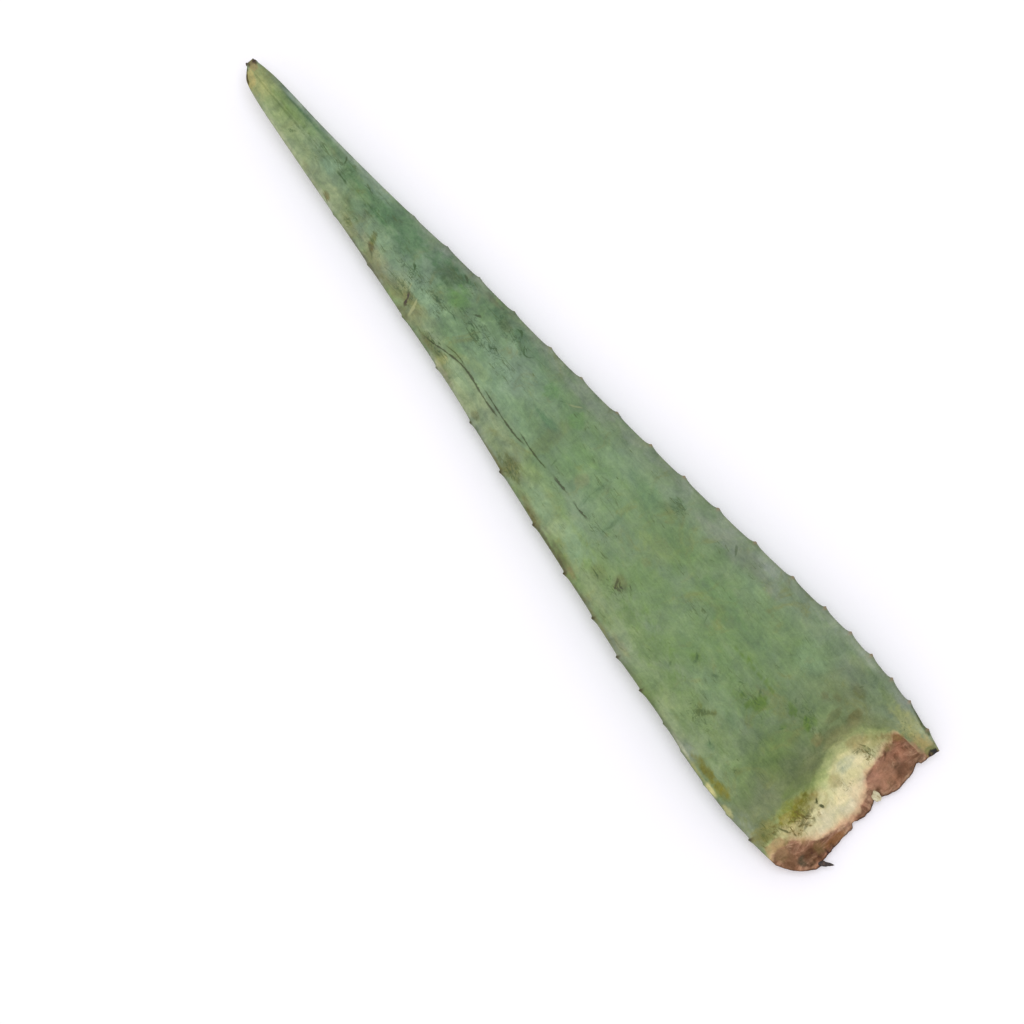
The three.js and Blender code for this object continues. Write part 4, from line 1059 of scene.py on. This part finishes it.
def makeHorn(name, horn):
    rows, around = 24, 14
    piece, flat = gridPiece(name, rows, around)
    t = (flat[:, 0] + 0.5)[:, None]
    turn = 2 * math.pi * (flat[:, 1] + 0.5)
    start, middle, end = (np.array(p, float) for p in horn["path"])
    centre = start * (1 - t) ** 2 + 2 * middle * t * (1 - t) + end * t**2
    heading = (middle - start) * (1 - t) + (end - middle) * t
    heading[:, 2] = 0
    heading /= np.linalg.norm(heading, axis=1)[:, None]
    sideways = np.stack([-heading[:, 1], heading[:, 0], heading[:, 2]], 1)
    radius = curveThrough(horn["widths"], t[:, 0]) * (1 - np.abs(2 * t[:, 0] - 1) ** 24)
    radius *= 1 + 0.25 * clouds(centre + np.cos(turn)[:, None], (1.6, 1.2), 20)
    across, up = radius * np.cos(turn), radius * np.sin(turn) * horn["flat"]
    points = centre + sideways * across[:, None]
    points[:, 2] += up
    placePoints(piece, *points.T)
    closeMesh(mergeWithin=0.00001)
    return piece


# A scrap of pale skin, torn loose at the end of the sheath and curled up over it
flake = {"at": (5.9, -10.9, 7.4), "halfLong": 3.0, "halfWide": 2.3, "curl": 1.3, "ragged": 0.5,
         "thickness": 0.3, "steps": 24}


def makeFlake():
    piece, flat = gridPiece("flake", flake["steps"], flake["steps"], size=2)
    x, y = flat[:, 0], flat[:, 1]
    # the square is drawn in to a ragged disc
    u, w = x * np.sqrt(1 - y**2 / 2), y * np.sqrt(1 - x**2 / 2)
    reach = np.hypot(u, w)
    turn = np.arctan2(w, u)
    rim = np.stack([2 * np.cos(turn), 2 * np.sin(turn), 0 * turn], 1)
    grow = 1 + flake["ragged"] * clouds(rim, (1.6, 1.6), 30) * reach
    u, w = u * grow, w * grow
    lifted = (0.75 * u - 0.66 * w).clip(0, None)
    along = flake["at"][0] + flake["halfLong"] * u
    side = flake["at"][1] + flake["halfWide"] * w
    crumple = 0.25 * clouds(rim * reach[:, None], (0.8, 0.8), 31)
    placePoints(piece, along, side, flake["at"][2] + flake["curl"] * lifted**1.7 + crumple)
    solidify = piece.modifiers.new("solidify", "SOLIDIFY")
    solidify.thickness = flake["thickness"] * mm
    bpy.ops.object.modifier_apply(modifier="solidify")
    closeMesh()
    return piece


def flakeSkin():
    # Sheath skin dried thin, pale and dull
    material, tree = newMaterial("palePeel")
    place = addNode(tree, "TexCoord", out="Object")
    here = addNode(tree, "Mapping", {"Vector": place, "Scale": (1 / mm,) * 3})
    blotch = addNode(tree, "TexNoise", {"Vector": here, "Scale": 1 / 2.2, "Detail": 4, "Roughness": 0.65})
    colour = addNode(tree, "ValToRGB", {0: blotch}, stops=[
        (0.3, "#8c7b5c"), (0.62, "#cdc7a9"), (0.44, "#bdb290"),
    ])
    shader = addNode(tree, "BsdfPrincipled", {"Base Color": colour, "Roughness": 0.75, "IOR": 1.45})
    addNode(tree, "OutputMaterial", {"Surface": shader}, out=None)
    return material


def driedHorn():
    # Skin dried hard and rolled up: nearly black, with a few paler fibres along it
    material, tree = newMaterial("driedHorn")
    place = addNode(tree, "TexCoord", out="Object")
    here = addNode(tree, "Mapping", {"Vector": place, "Scale": (1 / mm,) * 3})
    fibres = addNode(tree, "TexNoise", {"Vector": here, "Scale": 1 / 1.2, "Detail": 5, "Roughness": 0.7,
                                        "Distortion": 1.0})
    colour = addNode(tree, "ValToRGB", {0: fibres}, stops=[
        (0.35, "#241f1e"), (0.7, "#6b5344"), (0.52, "#3d322d"),
    ])
    normal = addNode(tree, "Bump", {"Strength": 0.5, "Distance": 0.2 * mm, "Height": fibres})
    shader = addNode(tree, "BsdfPrincipled", {"Base Color": colour, "Roughness": 0.7, "Normal": normal,
                                              "IOR": 1.45})
    addNode(tree, "OutputMaterial", {"Surface": shader}, out=None)
    return material


def paperFloor():
    bpy.ops.object.select_all(action="DESELECT")
    bpy.ops.mesh.primitive_plane_add(size=6, location=(0, 0, -0.0001))
    floor = bpy.context.object
    floor.name = "floor"
    material, tree = newMaterial("whitePaper")  # uncoated board: white and without gloss
    shader = addNode(tree, "BsdfPrincipled", {"Base Color": linear("#fbf9fe"), "Roughness": 0.9})
    addNode(tree, "OutputMaterial", {"Surface": shader}, out=None)
    floor.data.materials.append(material)


def studio():
    looks = {"room": (1, 0.968, 0.92, 1), "roomStrength": 0.71, "lamp": (0.86, 0.905, 1), "lampPower": 34,
             "lampSize": 1.5, "lampHeight": 2.6, "lampOffset": 0.25}
    scene = bpy.context.scene
    scene.view_settings.view_transform = "Standard"
    world = bpy.data.worlds.new("studio")
    world.use_nodes = True
    background = world.node_tree.nodes["Background"]
    background.inputs["Color"].default_value = looks["room"]
    background.inputs["Strength"].default_value = looks["roomStrength"]
    scene.world = world

    # a large soft light overhead, a little towards the top of the picture
    up = Vector((0.7753, -0.6316, 0))
    spot = up * looks["lampOffset"] + Vector((0, 0, looks["lampHeight"]))
    bpy.ops.object.light_add(type="AREA", location=spot)
    lamp = bpy.context.object
    lamp.data.size = looks["lampSize"]
    lamp.data.energy = looks["lampPower"]
    lamp.data.color = looks["lamp"]
    lamp.rotation_euler = (-spot).to_track_quat("-Z", "Y").to_euler()


def makeCamera():
    view = {"leafAt": (238, 41.8), "height": 1450.7, "eyeLevel": 20, "lens": 100, "turn": -129.17}
    along, side = view["leafAt"]
    place = (along - origin["along"], side - origin["side"], view["height"] + view["eyeLevel"])
    bpy.ops.object.camera_add(location=[v * mm for v in place], rotation=(0, 0, math.radians(view["turn"])))
    camera = bpy.context.object
    camera.data.lens = view["lens"]
    camera.data.sensor_width = 36
    camera.data.clip_end = 20
    bpy.context.scene.camera = camera


leaf = makeLeaf()
leaf.data.materials.append(leafSkin())
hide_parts("leaf")
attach(leaf, "root")
print("leaf:", len(leaf.data.polygons), "faces")

horn = driedHorn()
for name, shape in driedEnds.items():
    end = makeHorn(name, shape)
    end.data.materials.append(horn)
    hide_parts("leaf")
    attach(end, "root")
print("dried ends:", ", ".join(driedEnds))

peel = makeFlake()
peel.data.materials.append(flakeSkin())
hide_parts("leaf")
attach(peel, "root")
print("flake")

paperFloor()
studio()
makeCamera()
print("floor, lights and camera")
